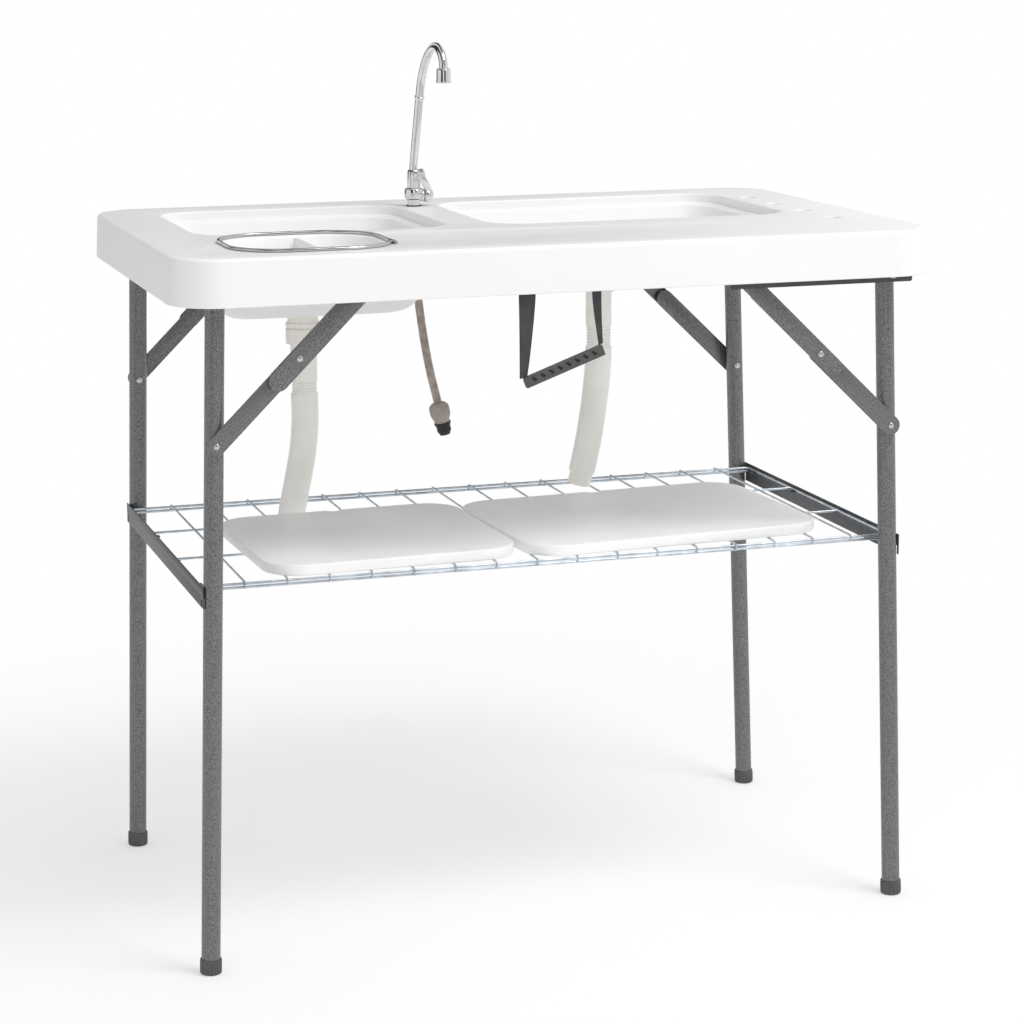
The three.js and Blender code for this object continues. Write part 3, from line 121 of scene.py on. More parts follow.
def new_group(name, inputs, output):
    """A group whose inputs are floats, but for those named Vector and Color."""
    tree = bpy.data.node_groups.new(name, "ShaderNodeTree")
    for title, value in inputs.items():
        kind = "NodeSocket" + (title if title in ("Vector", "Color") else "Float")
        socket = tree.interface.new_socket(name=title, in_out="INPUT", socket_type=kind)
        if value is not None:
            socket.default_value = value
    kind = "NodeSocketColor" if output == "Color" else "NodeSocketVector"
    tree.interface.new_socket(name=output, in_out="OUTPUT", socket_type=kind)
    return tree, tree.nodes.new("NodeGroupInput").outputs, tree.nodes.new("NodeGroupOutput")


grain, given, result = new_group(
    "surface_grain", {"Vector": None, "Scale": 600.0, "Depth": 0.0001, "Strength": 0.3}, "Normal")
noise = add(grain, "TexNoise", {"Detail": 3, "Vector": given["Vector"], "Scale": given["Scale"]})
bump = add(grain, "Bump", {"Height": noise["Fac"], "Distance": given["Depth"],
                           "Strength": given["Strength"]})
put(result, {"Normal": bump["Normal"]})

drift, given, result = new_group(
    "tone_drift", {"Vector": None, "Color": None, "Scale": 4.0, "Low": 0.9, "High": 1.06}, "Color")
noise = add(drift, "TexNoise", {"Detail": 4, "Vector": given["Vector"], "Scale": given["Scale"]})
spread = add(drift, "MapRange", {"Value": noise["Fac"], "From Min": 0.3, "From Max": 0.7,
                                 "To Min": given["Low"], "To Max": given["High"]})
shade = add(drift, "HueSaturation", {"Value": spread["Result"], "Color": given["Color"]})
put(result, {"Color": shade["Color"]})
print("groups", len(bpy.data.node_groups))

# %% [markdown]
# Each finish starts from one Principled shader with its own colour, roughness and
# metalness, and adds the two shared groups. The numbers of each finish stand in one
# short table, so that two finishes can be compared side by side.

# %% Finishes
FINISHES = {
    # slot: colour, roughness, metallic, grain scale, grain depth, tone scale, tone low, tone high
    "moulded_white": ((0.85, 0.847, 0.835), 0.42, 0.0, 900, 0.00012, 3, 0.965, 1.02),
    # the boards' white is the top's plastic made lighter: painted light for the shade they lie in under the
    # table
    "board_white": ((0.90, 0.897, 0.885), 0.5, 0.0, 700, 0.0002, 8, 0.95, 1.03),
    "foot_plastic": ((0.082, 0.082, 0.085), 0.55, 0.0, 900, 0.0001, 30, 0.8, 1.2),
    "hammertone_grey": ((0.165, 0.165, 0.165), 0.3, 0.55, 520, 0.0004, 560, 0.5, 1.5),
    "rail_grey": ((0.06, 0.061, 0.064), 0.45, 0.2, 500, 0.0002, 60, 0.8, 1.2),
    "bright_steel": ((0.56, 0.57, 0.59), 0.24, 1.0, 400, 0.00003, 60, 0.85, 1.1),
    "zinc_wire": ((0.60, 0.66, 0.72), 0.3, 0.8, 500, 0.00006, 45, 0.7, 1.15),
    "ivory_plastic": ((0.88, 0.85, 0.79), 0.38, 0.0, 700, 0.00008, 25, 0.95, 1.04),
    "rubber_black": ((0.012, 0.012, 0.012), 0.7, 0.0, 600, 0.0001, 40, 0.8, 1.2),
    "hose_white": ((0.92, 0.90, 0.85), 0.36, 0.0, 300, 0.00008, 12, 0.94, 1.03),
    "braided_steel": ((0.40, 0.34, 0.29), 0.38, 0.7, 900, 0.0001, 90, 0.7, 1.2),
    "coupling_grey": ((0.36, 0.31, 0.28), 0.45, 0.0, 600, 0.0001, 40, 0.85, 1.15),
    "adapter_black": ((0.01, 0.01, 0.01), 0.5, 0.0, 600, 0.0001, 40, 0.8, 1.2),
    "chrome": ((0.70, 0.705, 0.715), 0.045, 1.0, 900, 0.0, 60, 0.97, 1.03),
    "brass": ((0.55, 0.40, 0.14), 0.3, 1.0, 400, 0.00004, 50, 0.85, 1.1),
    "webbing_grey": ((0.045, 0.045, 0.048), 0.85, 0.0, 900, 0.0002, 60, 0.8, 1.25),
    "grip_grey": ((0.072, 0.072, 0.074), 0.5, 0.0, 800, 0.0001, 40, 0.88, 1.1),
}
materials = {}
for slot, (colour, rough, metal, fine, depth, slow, low_tone, high_tone) in FINISHES.items():
    material = bpy.data.materials.new(slot)
    material.use_nodes = True
    tree = material.node_tree
    place = add(tree, "TexCoord")["Object"]
    tone = add(tree, "Group", node_tree=drift)["Color"]
    put(tone.node, {"Vector": place, "Color": (*colour, 1), "Scale": slow, "Low": low_tone,
                    "High": high_tone})
    tilt = add(tree, "Group", node_tree=grain)["Normal"]
    put(tilt.node, {"Vector": place, "Scale": fine, "Depth": depth})
    put(tree.nodes["Principled BSDF"], {"Base Color": tone, "Normal": tilt, "Roughness": rough,
                                        "Metallic": metal})
    materials[slot] = material
print("finishes", len(materials))

# %% [markdown]
# Every solid here is one of a few shapes. A spun profile makes each turned part, a stack
# of rounded rectangles each moulded part, a row of rings along a line each tube, wire and
# hose, and an extruded outline each plate. Each helper builds one small mesh.

# %% Shape helpers
MERGE = 1e-6


def facing(place, along=(0, 0, 1)):
    turned = Vector((0, 0, 1)).rotation_difference(Vector(along).normalized())
    return Matrix.Translation(Vector(place) * MM) @ turned.to_matrix().to_4x4()


def spun(profile, place=(0, 0, 0), along=(0, 0, 1), steps=48):
    """Radius and height pairs, in millimetres, turned about a line."""
    bm = bmesh.new()
    verts = [bm.verts.new((r * MM, 0, z * MM)) for r, z in profile]
    edges = [bm.edges.new(pair) for pair in zip(verts, verts[1:])]
    bmesh.ops.spin(bm, geom=verts + edges, cent=(0, 0, 0), axis=(0, 0, 1), dvec=(0, 0, 0),
                   angle=tau, steps=steps, use_merge=True)
    bmesh.ops.remove_doubles(bm, verts=bm.verts, dist=MERGE)
    bmesh.ops.transform(bm, matrix=facing(place, along), verts=bm.verts)
    return bm


def rounded(x0, x1, y0, y1, radius, z, steps=12):
    """The outline of a rectangle with round corners, at one height."""
    ring = []
    for corner, (cx, cy) in enumerate(((x1 - radius, y1 - radius), (x0 + radius, y1 - radius),
                                       (x0 + radius, y0 + radius), (x1 - radius, y0 + radius))):
        for i in range(steps + 1):
            angle = (corner + i / steps) * pi / 2
            ring.append((cx + radius * cos(angle), cy + radius * sin(angle), z))
    return ring


def lofted(rings, closed=False, caps=True):
    """Skin through rings of as many points each, in millimetres."""
    bm = bmesh.new()
    rows = [[bm.verts.new(Vector(p) * MM) for p in ring] for ring in rings]
    pairs = list(zip(rows, rows[1:])) + ([(rows[-1], rows[0])] if closed else [])
    for one, two in pairs:
        for i in range(len(one)):
            j = (i + 1) % len(one)
            bm.faces.new((one[i], one[j], two[j], two[i]))
    if caps and not closed:
        bm.faces.new(list(reversed(rows[0])))
        bm.faces.new(rows[-1])
    return bm


def soften(bm, edges, size, segments=2):
    """Rounds edges a little, because no real edge is perfectly sharp."""
    bmesh.ops.bevel(bm, geom=edges, offset=size * MM, offset_type="OFFSET", segments=segments,
                    profile=0.5, affect="EDGES", material=-1)


def tube(path, radius, sides=20, closed=False, caps=True, ends=0.0):
    """A round bar along a path; radius is one size or a function of the distance along it."""
    spots = [Vector(p) for p in path]
    last = len(spots) - 1
    lines = [(spots[(i + 1) % len(spots) if closed else min(i + 1, last)]
              - spots[i - 1 if closed else max(i - 1, 0)]).normalized() for i in range(len(spots))]
    across = lines[0].orthogonal().normalized()
    turns = arc(sides, tau)[:-1]
    rings, runs = [], [0.0]
    for i, (spot, line) in enumerate(zip(spots, lines)):
        if i:
            across = (across - line * across.dot(line)).normalized()
            runs.append(runs[-1] + (spot - spots[i - 1]).length)
        beside = line.cross(across)
        size = radius(runs[-1]) if callable(radius) else radius
        rings.append([spot + (across * c + beside * t) * size for c, t in turns])
    bm = lofted(rings, closed, caps)
    sheet = bm.loops.layers.uv.new("along")
    bm.faces.ensure_lookup_table()
    for index in range((last + closed) * sides):
        i, k = divmod(index, sides)
        j = (i + 1) % len(spots)
        for loop, (row, turn) in zip(bm.faces[index].loops, ((i, k), (i, k + 1), (j, k + 1), (j, k))):
            loop[sheet].uv = (turn / sides, runs[row] * MM)
    if ends:
        soften(bm, list({e for f in bm.faces[-2:] for e in f.edges}), ends, 3)
    return bm


def plate(outline, thickness, place=(0, 0, 0), across=(1, 0, 0), upward=(0, 0, 1), edge=0.4):
    """A flat outline of two numbers a point, extruded and with its edges broken."""
    bm = bmesh.new()
    a, b = Vector(across), Vector(upward)
    verts = [bm.verts.new((Vector(place) + a * u + b * v) * MM) for u, v in outline]
    face = bm.faces.new(verts)
    made = bmesh.ops.extrude_face_region(bm, geom=[face], use_keep_orig=True)
    moved = [g for g in made["geom"] if isinstance(g, bmesh.types.BMVert)]
    bmesh.ops.translate(bm, verts=moved, vec=a.cross(b) * thickness * MM)
    bmesh.ops.recalc_face_normals(bm, faces=bm.faces)
    if edge:
        flat = [f for f in bm.faces if len(f.verts) > 4 or abs(f.normal.dot(a.cross(b))) > 0.9]
        soften(bm, list({e for f in flat for e in f.edges}), edge)
    return bm


def slab(x0, x1, y0, y1, z0, z1, edge=0.3):
    """A block with its edges broken."""
    bm = bmesh.new()
    size = Matrix.Diagonal(((x1 - x0) * MM, (y1 - y0) * MM, (z1 - z0) * MM, 1))
    middle = Matrix.Translation(mm((x0 + x1) / 2, (y0 + y1) / 2, (z0 + z1) / 2))
    bmesh.ops.create_cube(bm, size=1, matrix=middle @ size)
    if edge:
        soften(bm, list(bm.edges), edge)
    return bm


def fluted(levels, count, place=(0, 0, 0), along=(0, 0, 1), detail=8, caps=True):
    """Levels of radius, height and flute depth, with rounded ribs and hollow flutes.

    Without caps the levels come back to where they start, and the seam is merged."""
    rings = []
    for radius, z, depth in levels:
        ring = []
        for i in range(count * detail):
            wave = cos(i / detail * tau)
            size = radius - depth * (0.5 - 0.5 * max(-1, min(1, wave * 1.8)))
            angle = i / (count * detail) * tau
            ring.append((size * cos(angle), size * sin(angle), z))
        rings.append(ring)
    bm = lofted(rings, caps=caps)
    bmesh.ops.transform(bm, matrix=facing(place, along), verts=bm.verts)
    if not caps:
        bmesh.ops.remove_doubles(bm, verts=bm.verts, dist=MERGE)
    return bm


def dome(place, along, radius=4.25, height=1.8):
    """The head of a rivet."""
    curve = [(radius * c, height * t) for c, t in arc(7)[:-1]]
    return spun([(radius, -0.3)] + curve + [(0, height)], place, along, 28)


def washer(inner, outer, low, high, soft, place):
    return spun([(inner, low), (outer - soft, low), (outer, low + soft), (outer, high - soft),
                 (outer - soft, high), (inner, high), (inner, low)], place)


def drill(radius, low, high, place, steps=48):
    return spun([(0, low), (radius, low), (radius, high), (0, high)], place, steps=steps)


print("shape helpers ready")

# %% [markdown]
# A hose or a spout follows a smooth route through a few given points.
# The other helpers join small meshes into one piece, shade it and hang it on its body,
# and cut one piece with others, as a drill or a mould would.

# %% Routes, pieces and cuts


def smooth_path(points, steps=8):
    """A smooth route through points, in millimetres."""
    spots = [Vector(p) for p in points]
    route = []
    for i in range(len(spots) - 1):
        a, b = spots[i], spots[i + 1]
        before = spots[i - 1] if i else a * 2 - b
        after = spots[i + 2] if i + 2 < len(spots) else b * 2 - a
        gap = (b - a).length
        slope_a = (b - before) * (gap / ((b - a).length + (a - before).length))
        slope_b = (after - a) * (gap / ((after - b).length + gap))
        for k in range(steps):
            t = k / steps
            route.append(a * (2 * t ** 3 - 3 * t * t + 1) + slope_a * (t ** 3 - 2 * t * t + t)
                         + b * (3 * t * t - 2 * t ** 3) + slope_b * (t ** 3 - t * t))
    route.append(spots[-1])
    return route


def path_length(path):
    return sum((b - a).length for a, b in zip(path, path[1:])) * MM


def piece(name, body, slot, replaced, *parts, angle=35):
    """Joins small meshes into one finished piece that rides on a body."""
    whole = bmesh.new()
    for part in parts:
        bmesh.ops.recalc_face_normals(part, faces=part.faces)
        mesh = bpy.data.meshes.new("part")
        part.to_mesh(mesh)
        part.free()
        whole.from_mesh(mesh)
        bpy.data.meshes.remove(mesh)
    mesh = bpy.data.meshes.new(name)
    whole.to_mesh(mesh)
    whole.free()
    mesh.materials.append(materials[slot])
    mesh.shade_smooth()
    mesh.set_sharp_from_angle(angle=radians(angle))
    made = show(name, mesh)
    if body:
        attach(made, body)
    if replaced:
        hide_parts(*replaced)
    return made


def cut(target, tools, operation="DIFFERENCE", angle=35):
    """Cuts or joins with other pieces, and keeps the result as a plain mesh."""
    for other in tools:
        modifier = target.modifiers.new("cut", "BOOLEAN")
        modifier.operation = operation
        modifier.solver = "EXACT"
        modifier.object = other
        bpy.context.view_layer.update()
        result = target.evaluated_get(bpy.context.evaluated_depsgraph_get())
        mesh = bpy.data.meshes.new_from_object(result)
        target.modifiers.clear()
        target.data = mesh
        bpy.data.objects.remove(other)
    target.data.shade_smooth()
    target.data.set_sharp_from_angle(angle=radians(angle))
    return target


def tool(*parts, slot="moulded_white"):
    """A piece that only cuts or joins, and is then gone."""
    return piece("tool", None, slot, None, *parts)


print("piece helpers ready")

# %% [markdown]
# The two drain hoses hang free from their fittings and the supply hose hangs from the
# tap's shank, and the length of each is printed.
# A moulded drain hose has a plain cuff, a few soft ribs and then a smooth bore, so its
# radius changes along the line.

# %% Drain hoses
BASIN_Y = 93.0
LEFT_DRAIN_X = -258.5
RIGHT_DRAIN_X = 178.0
left_route = smooth_path([(-258.5, 93, 767.3), (-258.5, 93, 727), (-258.5, 93, 690), (-258.5, 94, 655),
                          (-262, 99, 610), (-270, 107, 560), (-276, 112, 525), (-278, 114, 505),
                          (-279, 115, 490)], 36)
right_route = smooth_path([(178, 93, 821.3), (178, 93, 782), (178, 93, 750), (177.5, 93, 720),
                           (173, 94, 670), (165, 95, 615), (157, 96, 575), (152, 97, 553),
                           (149, 98, 539)], 36)


CUFF_R, VALLEY_R, SHOULDER_R, HOSE_R, END_R, BORE_R = 18.5, 15.9, 16.6, 19, 16.4, 15
RIB_PITCH, END_CUFF, RAMP = 4.4, 16, 3


def hose_radius(cuff, ribs, length):
    """A plain cuff, a few ribs, the smooth hose and a thinner cuff at its far end."""
    ribs_end = cuff + ribs * RIB_PITCH

    def size(run):
        if run < cuff - 2:
            return CUFF_R
        if run < ribs_end:
            wave = 0.5 + 0.5 * cos((run - cuff) / RIB_PITCH * tau)
            return VALLEY_R + 1.7 * wave ** 0.7
        if run < ribs_end + 5:
            return SHOULDER_R + (HOSE_R - SHOULDER_R) * min(1, (run - ribs_end) / RAMP)
        if run > length - END_CUFF:
            return END_R
        if run > length - END_CUFF - RAMP:
            return HOSE_R - (HOSE_R - END_R) * (run - length + END_CUFF + RAMP) / RAMP
        return HOSE_R
    return size


for side, route, cuff, ribs, exit_x, exit_z in (
        ("left", left_route, 55, 3, LEFT_DRAIN_X, 767.3),
        ("right", right_route, 52, 6, RIGHT_DRAIN_X, 821.3)):
    length = path_length(route)
    outer = tube(route, hose_radius(cuff, ribs, length / MM), 40, caps=False)
    bore = tube(route, BORE_R, 40, caps=False)
    whole = piece(f"{side}_drain_hose_skin", "top", "hose_white", (f"{side}_drain_hose",),
                  outer, bore)
    shape = bmesh.new()
    shape.from_mesh(whole.data)
    open_edges = [e for e in shape.edges if e.is_boundary]
    for end in (route[0] * MM, route[-1] * MM):
        near = [e for e in open_edges if all((v.co - end).length < 0.025 for v in e.verts)]
        bmesh.ops.bridge_loops(shape, edges=near)
    bmesh.ops.recalc_face_normals(shape, faces=shape.faces)
    shape.to_mesh(whole.data)
    shape.free()
    whole.data.set_sharp_from_angle(angle=radians(50))
    print(side, "drain hose", round(length, 4), "m")

# %% [markdown]
# The supply hose is a rubber core in a woven steel sleeve. Its strands are a pattern of
# two crossing sets of waves along and around the hose, which only needs the distance
# along it and the turn round it, so the tube helper writes both as its own coordinates.
# A knurled dome of a nut and a black adapter hang at its end.

# %% Woven finish and supply hose
woven = materials["braided_steel"]
tree = woven.node_tree
along = add(tree, "UVMap", uv_map="along")["UV"]
heights = []
for sign in (1, -1):
    stretch = add(tree, "Mapping", {"Vector": along, "Scale": (12.0, sign * 420.0, 1.0)})
    strands = add(tree, "TexWave", {"Vector": stretch["Vector"], "Scale": 0.32},
                  wave_type="BANDS", bands_direction="DIAGONAL")
    heights.append(strands["Fac"])
weave = add(tree, "Math", dict(enumerate(heights)), operation="MAXIMUM")
relief = add(tree, "Bump", {"Height": weave["Value"], "Distance": 0.0006, "Strength": 0.8})
put(tree.nodes["Principled BSDF"], {"Normal": relief["Normal"]})

TAP_X, TAP_Y, DECK = -60.5, 220.0, 940.0
SWAY, SUPPLY_DROP, SUPPLY_TILT = 31.9, 290, 0.224
lean = Vector((sin(SUPPLY_TILT), 0, -cos(SUPPLY_TILT)))
supply_end = Vector((TAP_X + SWAY, TAP_Y, DECK - SUPPLY_DROP))
shares = ((0, 0), (0, 0.07), (0.04, 0.2), (0.2, 0.42), (0.43, 0.64), (0.68, 0.82))
supply_top = 887.4
supply_route = smooth_path(
    [(TAP_X + SWAY * sway, TAP_Y, supply_top + (supply_end.z - supply_top) * drop)
     for sway, drop in shares] + [supply_end - lean * 12, supply_end], 14)
supply = piece("supply_hose_skin", "top", "braided_steel", ("supply_hose",),
               tube(supply_route, 6, 24))
nut_levels = [(7.5, -0.3, 0), (11.5, -2.3, 0.2), (14, -5.3, 0.5), (15, -9, 0.8), (15, -17, 0.8),
              (14.2, -21, 0.6), (12.4, -25, 0.3), (11.4, -28, 0), (11.4, -30.3, 0)]
coupling = piece("supply_coupling_skin", "top", "coupling_grey", ("supply_coupling",),
                 fluted(nut_levels, 24, supply_end, -lean))
adapter_start = supply_end + lean * 30.6
adapter = piece("hose_adapter_skin", "top", "adapter_black", ("hose_adapter",),
                spun([(6, 0), (12.5, 0), (12.5, 2), (10.5, 6), (10.5, 13.3), (10, 14), (8, 17.3),
                      (8, 18.6), (7.6, 19), (6, 19), (6, 0)], adapter_start, lean, 40))
length = path_length(supply_route)
print("supply hose", round(length, 4), "m")

# %% [markdown]
# The picture is lit like a studio shot: a pale floor, a large soft lamp high up in front
# and to the right, and a weak one low in front. The floor keeps the table's shadow and
# turns into white paper away from it, for the camera and for mirrors only.

# %% Floor and lamps
floor_mesh = bpy.data.meshes.new("floor")
shape = bmesh.new()
bmesh.ops.create_grid(shape, x_segments=1, y_segments=1, size=6)
bmesh.ops.translate(shape, verts=shape.verts, vec=mm(0, 0, -0.5))
shape.to_mesh(floor_mesh)
shape.free()
floor = show("floor", floor_mesh)
pale = bpy.data.materials.new("floor_pale")
pale.use_nodes = True
tree = pale.node_tree
shader = put(tree.nodes["Principled BSDF"], {"Base Color": (0.96, 0.96, 0.96, 1), "Roughness": 0.9,
                                             "Specular IOR Level": 0.1})
paper = add(tree, "Emission")
far = add(tree, "VectorMath", {0: add(tree, "TexCoord")["Object"]}, operation="LENGTH")
fade = add(tree, "MapRange", {"Value": far["Value"], "From Min": 0.5, "From Max": 2.0, "To Min": 0.4},
           interpolation_type="SMOOTHSTEP")
rays = add(tree, "LightPath")
seen = add(tree, "Math", {0: rays["Is Camera Ray"], 1: rays["Is Glossy Ray"]}, operation="MAXIMUM")
amount = add(tree, "Math", {0: fade["Result"], 1: seen["Value"]}, operation="MULTIPLY")
blend = add(tree, "MixShader", {"Fac": amount["Value"], 1: shader["BSDF"], 2: paper["Emission"]})
put(tree.nodes["Material Output"], {"Surface": blend["Shader"]})
floor_mesh.materials.append(pale)


def lamp(name, place, target, size, power):
    light = bpy.data.lights.new(name, "AREA")
    light.shape = "RECTANGLE"
    light.size, light.size_y = size
    light.energy = power
    made = show(name, light)
    made.location = place
    made.rotation_euler = (Vector(target) - Vector(place)).to_track_quat("-Z", "Y").to_euler()


lamp("key", (1.6, -2.0, 4.4), (0, 0, 0.8), (1.8, 1.8), 86)
lamp("front", (0.2, -4.4, 0.9), (0, 0, 0.4), (3.0, 1.6), 5)

# %% [markdown]
# The world is the room. It lights the table a little more from the lamps' side. The
# camera sees it as plain white, and metal sees white with a few dark bands, which stand
# for the dark cards that a studio holds beside chrome.

# %% Background
world = bpy.data.worlds.new("studio")
bpy.context.scene.world = world
world.use_nodes = True
tree = world.node_tree
rays = add(tree, "LightPath")
aim = add(tree, "TexCoord")["Generated"]
toward_lamps = add(tree, "VectorMath", {0: aim, 1: (0.85, -0.53, 0)}, operation="DOT_PRODUCT")
light_level = add(tree, "MapRange", {"Value": toward_lamps["Value"], "From Min": -1, "To Min": 0.57,
                                     "To Max": 1.0})
soft = add(tree, "Background", {"Color": (0.985, 0.99, 1.0, 1), "Strength": light_level["Result"]})

split = add(tree, "SeparateXYZ", {"Vector": aim})
spread = add(tree, "MapRange", {"Value": split["X"], "From Min": -1})
bands = add(tree, "ValToRGB", {"Fac": spread["Result"]})
stops = bands["Color"].node.color_ramp.elements
stops[0].color, stops[1].color = (0.9, 0.9, 0.9, 1), (1, 1, 1, 1)
for spot, grey in ((0.09, 0.85), (0.12, 0.03), (0.27, 0.06), (0.33, 0.95), (0.44, 0.9),
                   (0.50, 0.12), (0.66, 0.03), (0.72, 0.9), (0.93, 0.75)):
    stops.new(spot).color = (grey, grey, grey, 1)
mirrored = add(tree, "Background", {"Color": bands["Color"]})

bright = put(tree.nodes["Background"], {"Color": (1, 1, 1, 1), "Strength": 1.0})
seen = add(tree, "Math", {0: rays["Is Camera Ray"], 1: rays["Is Transmission Ray"]},
           operation="MAXIMUM")
reflect = add(tree, "MixShader", {"Fac": rays["Is Glossy Ray"], 1: soft["Background"],
                                  2: mirrored["Background"]})
choose = add(tree, "MixShader", {"Fac": seen["Value"], 1: reflect["Shader"], 2: bright["Background"]})
put(tree.nodes["World Output"], {"Surface": choose["Shader"]})
bpy.context.scene.view_settings.view_transform = "Standard"
print("background nodes", len(tree.nodes))

# %% [markdown]
# The top is one blow-moulded shell: a skirted tray turned upside down, with two basins,
# a small two-bay tray and four tool holes sunk in it. It is made as its outside, less
# its inside, plus the undersides of the bowls, less the bowls. Every lip is a row of
# small steps, because a moulded edge is never sharp and its highlight shows the shape.

# %% Moulded top
HALF_X, HALF_Y, EDGE_R = 512.5, 329.0, 6
REBATE_FRONT, REBATE_BACK, LEDGE = -68.0, 254.0, 927.0
WALL, RIM_INSET, LIP, DRAFT = 4, 11, 4.0, 0.33
BASINS = ({"x0": -432.0, "x1": -85.05, "floor": 822.0, "bend": 30.0, "drain": LEFT_DRAIN_X},
          {"x0": -26.05, "x1": 408.0, "floor": 876.0, "bend": 20.0, "drain": RIGHT_DRAIN_X})
TRAY = (-420.0, -221.0, -284.0, -98.0)
TRAY_FLOOR, DIVIDER = 905, (-312.1, -307.1)


def shell_ring(grow, z):
    x, y = HALF_X + grow, HALF_Y + grow
    return rounded(-x, x, -y, y, 64 + grow, z, 16)


outer_rings = [shell_ring(2.2, 879), shell_ring(3, 880), shell_ring(0, DECK - EDGE_R)]
outer_rings += [shell_ring(-EDGE_R * (1 - c), DECK - EDGE_R + EDGE_R * s) for c, s in arc(8)[1:]]
inner_rings = [shell_ring(-5, 877), shell_ring(-5, 884), shell_ring(-2.2, 884.4), shell_ring(-5.2, 930),
               shell_ring(-6, 933.6), shell_ring(-8, 935)]


def bowl_rings(basin, grow):
    """The hollow of a basin from its floor up, or its outside when grow is the wall."""
    ledge, bend = LEDGE - grow, basin["bend"] + grow
    floor = basin["floor"] - grow

    def ring(inset, z):
        return rounded(basin["x0"] + inset - grow, basin["x1"] - inset + grow,
                       REBATE_FRONT + inset - grow, REBATE_BACK - inset + grow,
                       max(52 - inset + grow, 26), z, 12)
    foot = RIM_INSET + (LEDGE - basin["floor"] - basin["bend"]) * DRAFT
    rings = [ring(foot + bend * (1 - t), floor + bend * (1 - c)) for c, t in arc(8, 1.25)]
    rings.append(ring(RIM_INSET + LIP * DRAFT + 0.4, ledge - LIP))
    rings += [ring(RIM_INSET - LIP * s * 0.9, ledge - LIP * (1 - s) * 0.9) for s in (0.25, 0.55, 0.85)]
    rings.append(ring(RIM_INSET - LIP * 1.1, ledge))
    if grow:
        rings.append(ring(0, ledge))
        rings.append(ring(0, 937))
        return rings
    rings += [ring(2.0, ledge), ring(0.6, ledge + 0.6), ring(0, ledge + 2)]
    rings += [ring(-2.5 * (1 - c), 937.5 + 2.5 * s) for c, s in arc(5)]
    rings.append(ring(-3.2, 945))
    return rings


def tray_rings(grow):
    x0, x1, y0, y1 = TRAY

    def ring(front, side, back, z):
        return rounded(x0 + side - grow, x1 - side + grow, y0 + front - grow, y1 - back + grow,
                       66 - side, z, 12)
    floor = TRAY_FLOOR - grow
    rings = [ring(38, 14, 14, floor), ring(34, 10.5, 10.5, floor + 1.2),
             ring(32, 8.6, 8.6, floor + 3.6), ring(31, 8, 8, floor + 6),
             ring(28, 4, 4, floor + 21), ring(22, 3.2, 3.2, floor + 24)]
    if grow:
        return rings + [ring(0, 0, 0, 937)]
    rings += [ring(6, 1, 1, 935.6), ring(1.5, 0.2, 0.2, 938), ring(-0.6, -0.8, -0.8, 939.3)]
    return rings + [ring(-2.4, -2.4, -2.4, 940.0), ring(-3, -3, -3, 945)]


top = piece("moulded_top", "top", "moulded_white", ("table_top",), lofted(outer_rings))
cut(top, [tool(lofted(inner_rings))])
for grow, operation in ((WALL, "UNION"), (0, "DIFFERENCE")):
    sunk = [bowl_rings(b, grow) for b in BASINS] + [tray_rings(grow)]
    cut(top, [tool(lofted(rings)) for rings in sunk], operation)
divider = tool(slab(*DIVIDER, *TRAY[2:], 902, 937, 2.2))
cut(divider, [tool(lofted(tray_rings(2)[:-1] + [tray_rings(0)[-3]]))], "INTERSECT")
cut(top, [divider], "UNION")


def round_hole(x, y, low, high, radius, lip):
    profile = [(0, low), (radius, low), (radius, high - lip)]
    profile += [(radius + lip * (1 - c), high - lip * (1 - s)) for c, s in arc(4)[1:]]
    return tool(spun(profile + [(radius + lip, high + 6), (0, high + 6)], (x, y, 0)))


TOOL_X, TOOL_Y, TOOL_STEP = 438, 166, 102.3
holes = [round_hole(TOOL_X, TOOL_Y - TOOL_STEP * i, 925, DECK, 11.5, 2) for i in range(4)]
holes += [round_hole(b["drain"], BASIN_Y, b["floor"] - 10, b["floor"], 20, 0.4) for b in BASINS]
holes += [round_hole(TAP_X, TAP_Y, 925, DECK, 9.4, 0.4)]
cut(top, holes, angle=32)
print("top", len(top.data.polygons), "faces")

# %% [markdown]
# Each leg frame is two leaning tubes on a cross tube, and the cross tube is the axle of
# the fold. The tubes are swept circles with a ball where two of them meet, which is how
# a bent or welded corner looks. Rivets are domes, and short pegs carry the shelf.

# %% Leg frames and feet
ENDS = ((-1, "front"), (1, "back"))
LEAN = 0.0346
FOOT_X, LEG_Y, TUBE = 486.0, 274.0, 12.5
AXLE_Y, PEG_Z, LOWER_OUT = 286.5, 504, 291.0
PIN = 2.6
SIDES = {
    "left": {"side": -1, "pivot": (461.467, 901.35), "rivet": (461.777, 700.1),
             "anchor": (251.927, 908), "middle": (353.868, 807.006),
             "upper": 26, "lower": 24, "upper_tail": 39, "lower_tail": 0},
    "right": {"side": 1, "pivot": (455.552, 880), "rivet": (462.745, 672.1),
              "anchor": (247.528, 880), "middle": (355.136, 776.05),
              "upper": 24, "lower": 26, "upper_tail": 26, "lower_tail": 2},
}


def leg_x(z):
    return FOOT_X - LEAN * z


def rod(x, z, low, high, radius, sides=20, **more):
    """A round bar across the table, from one y to another."""
    return tube([(x, low, z), (x, high, z)], radius, sides, **more)


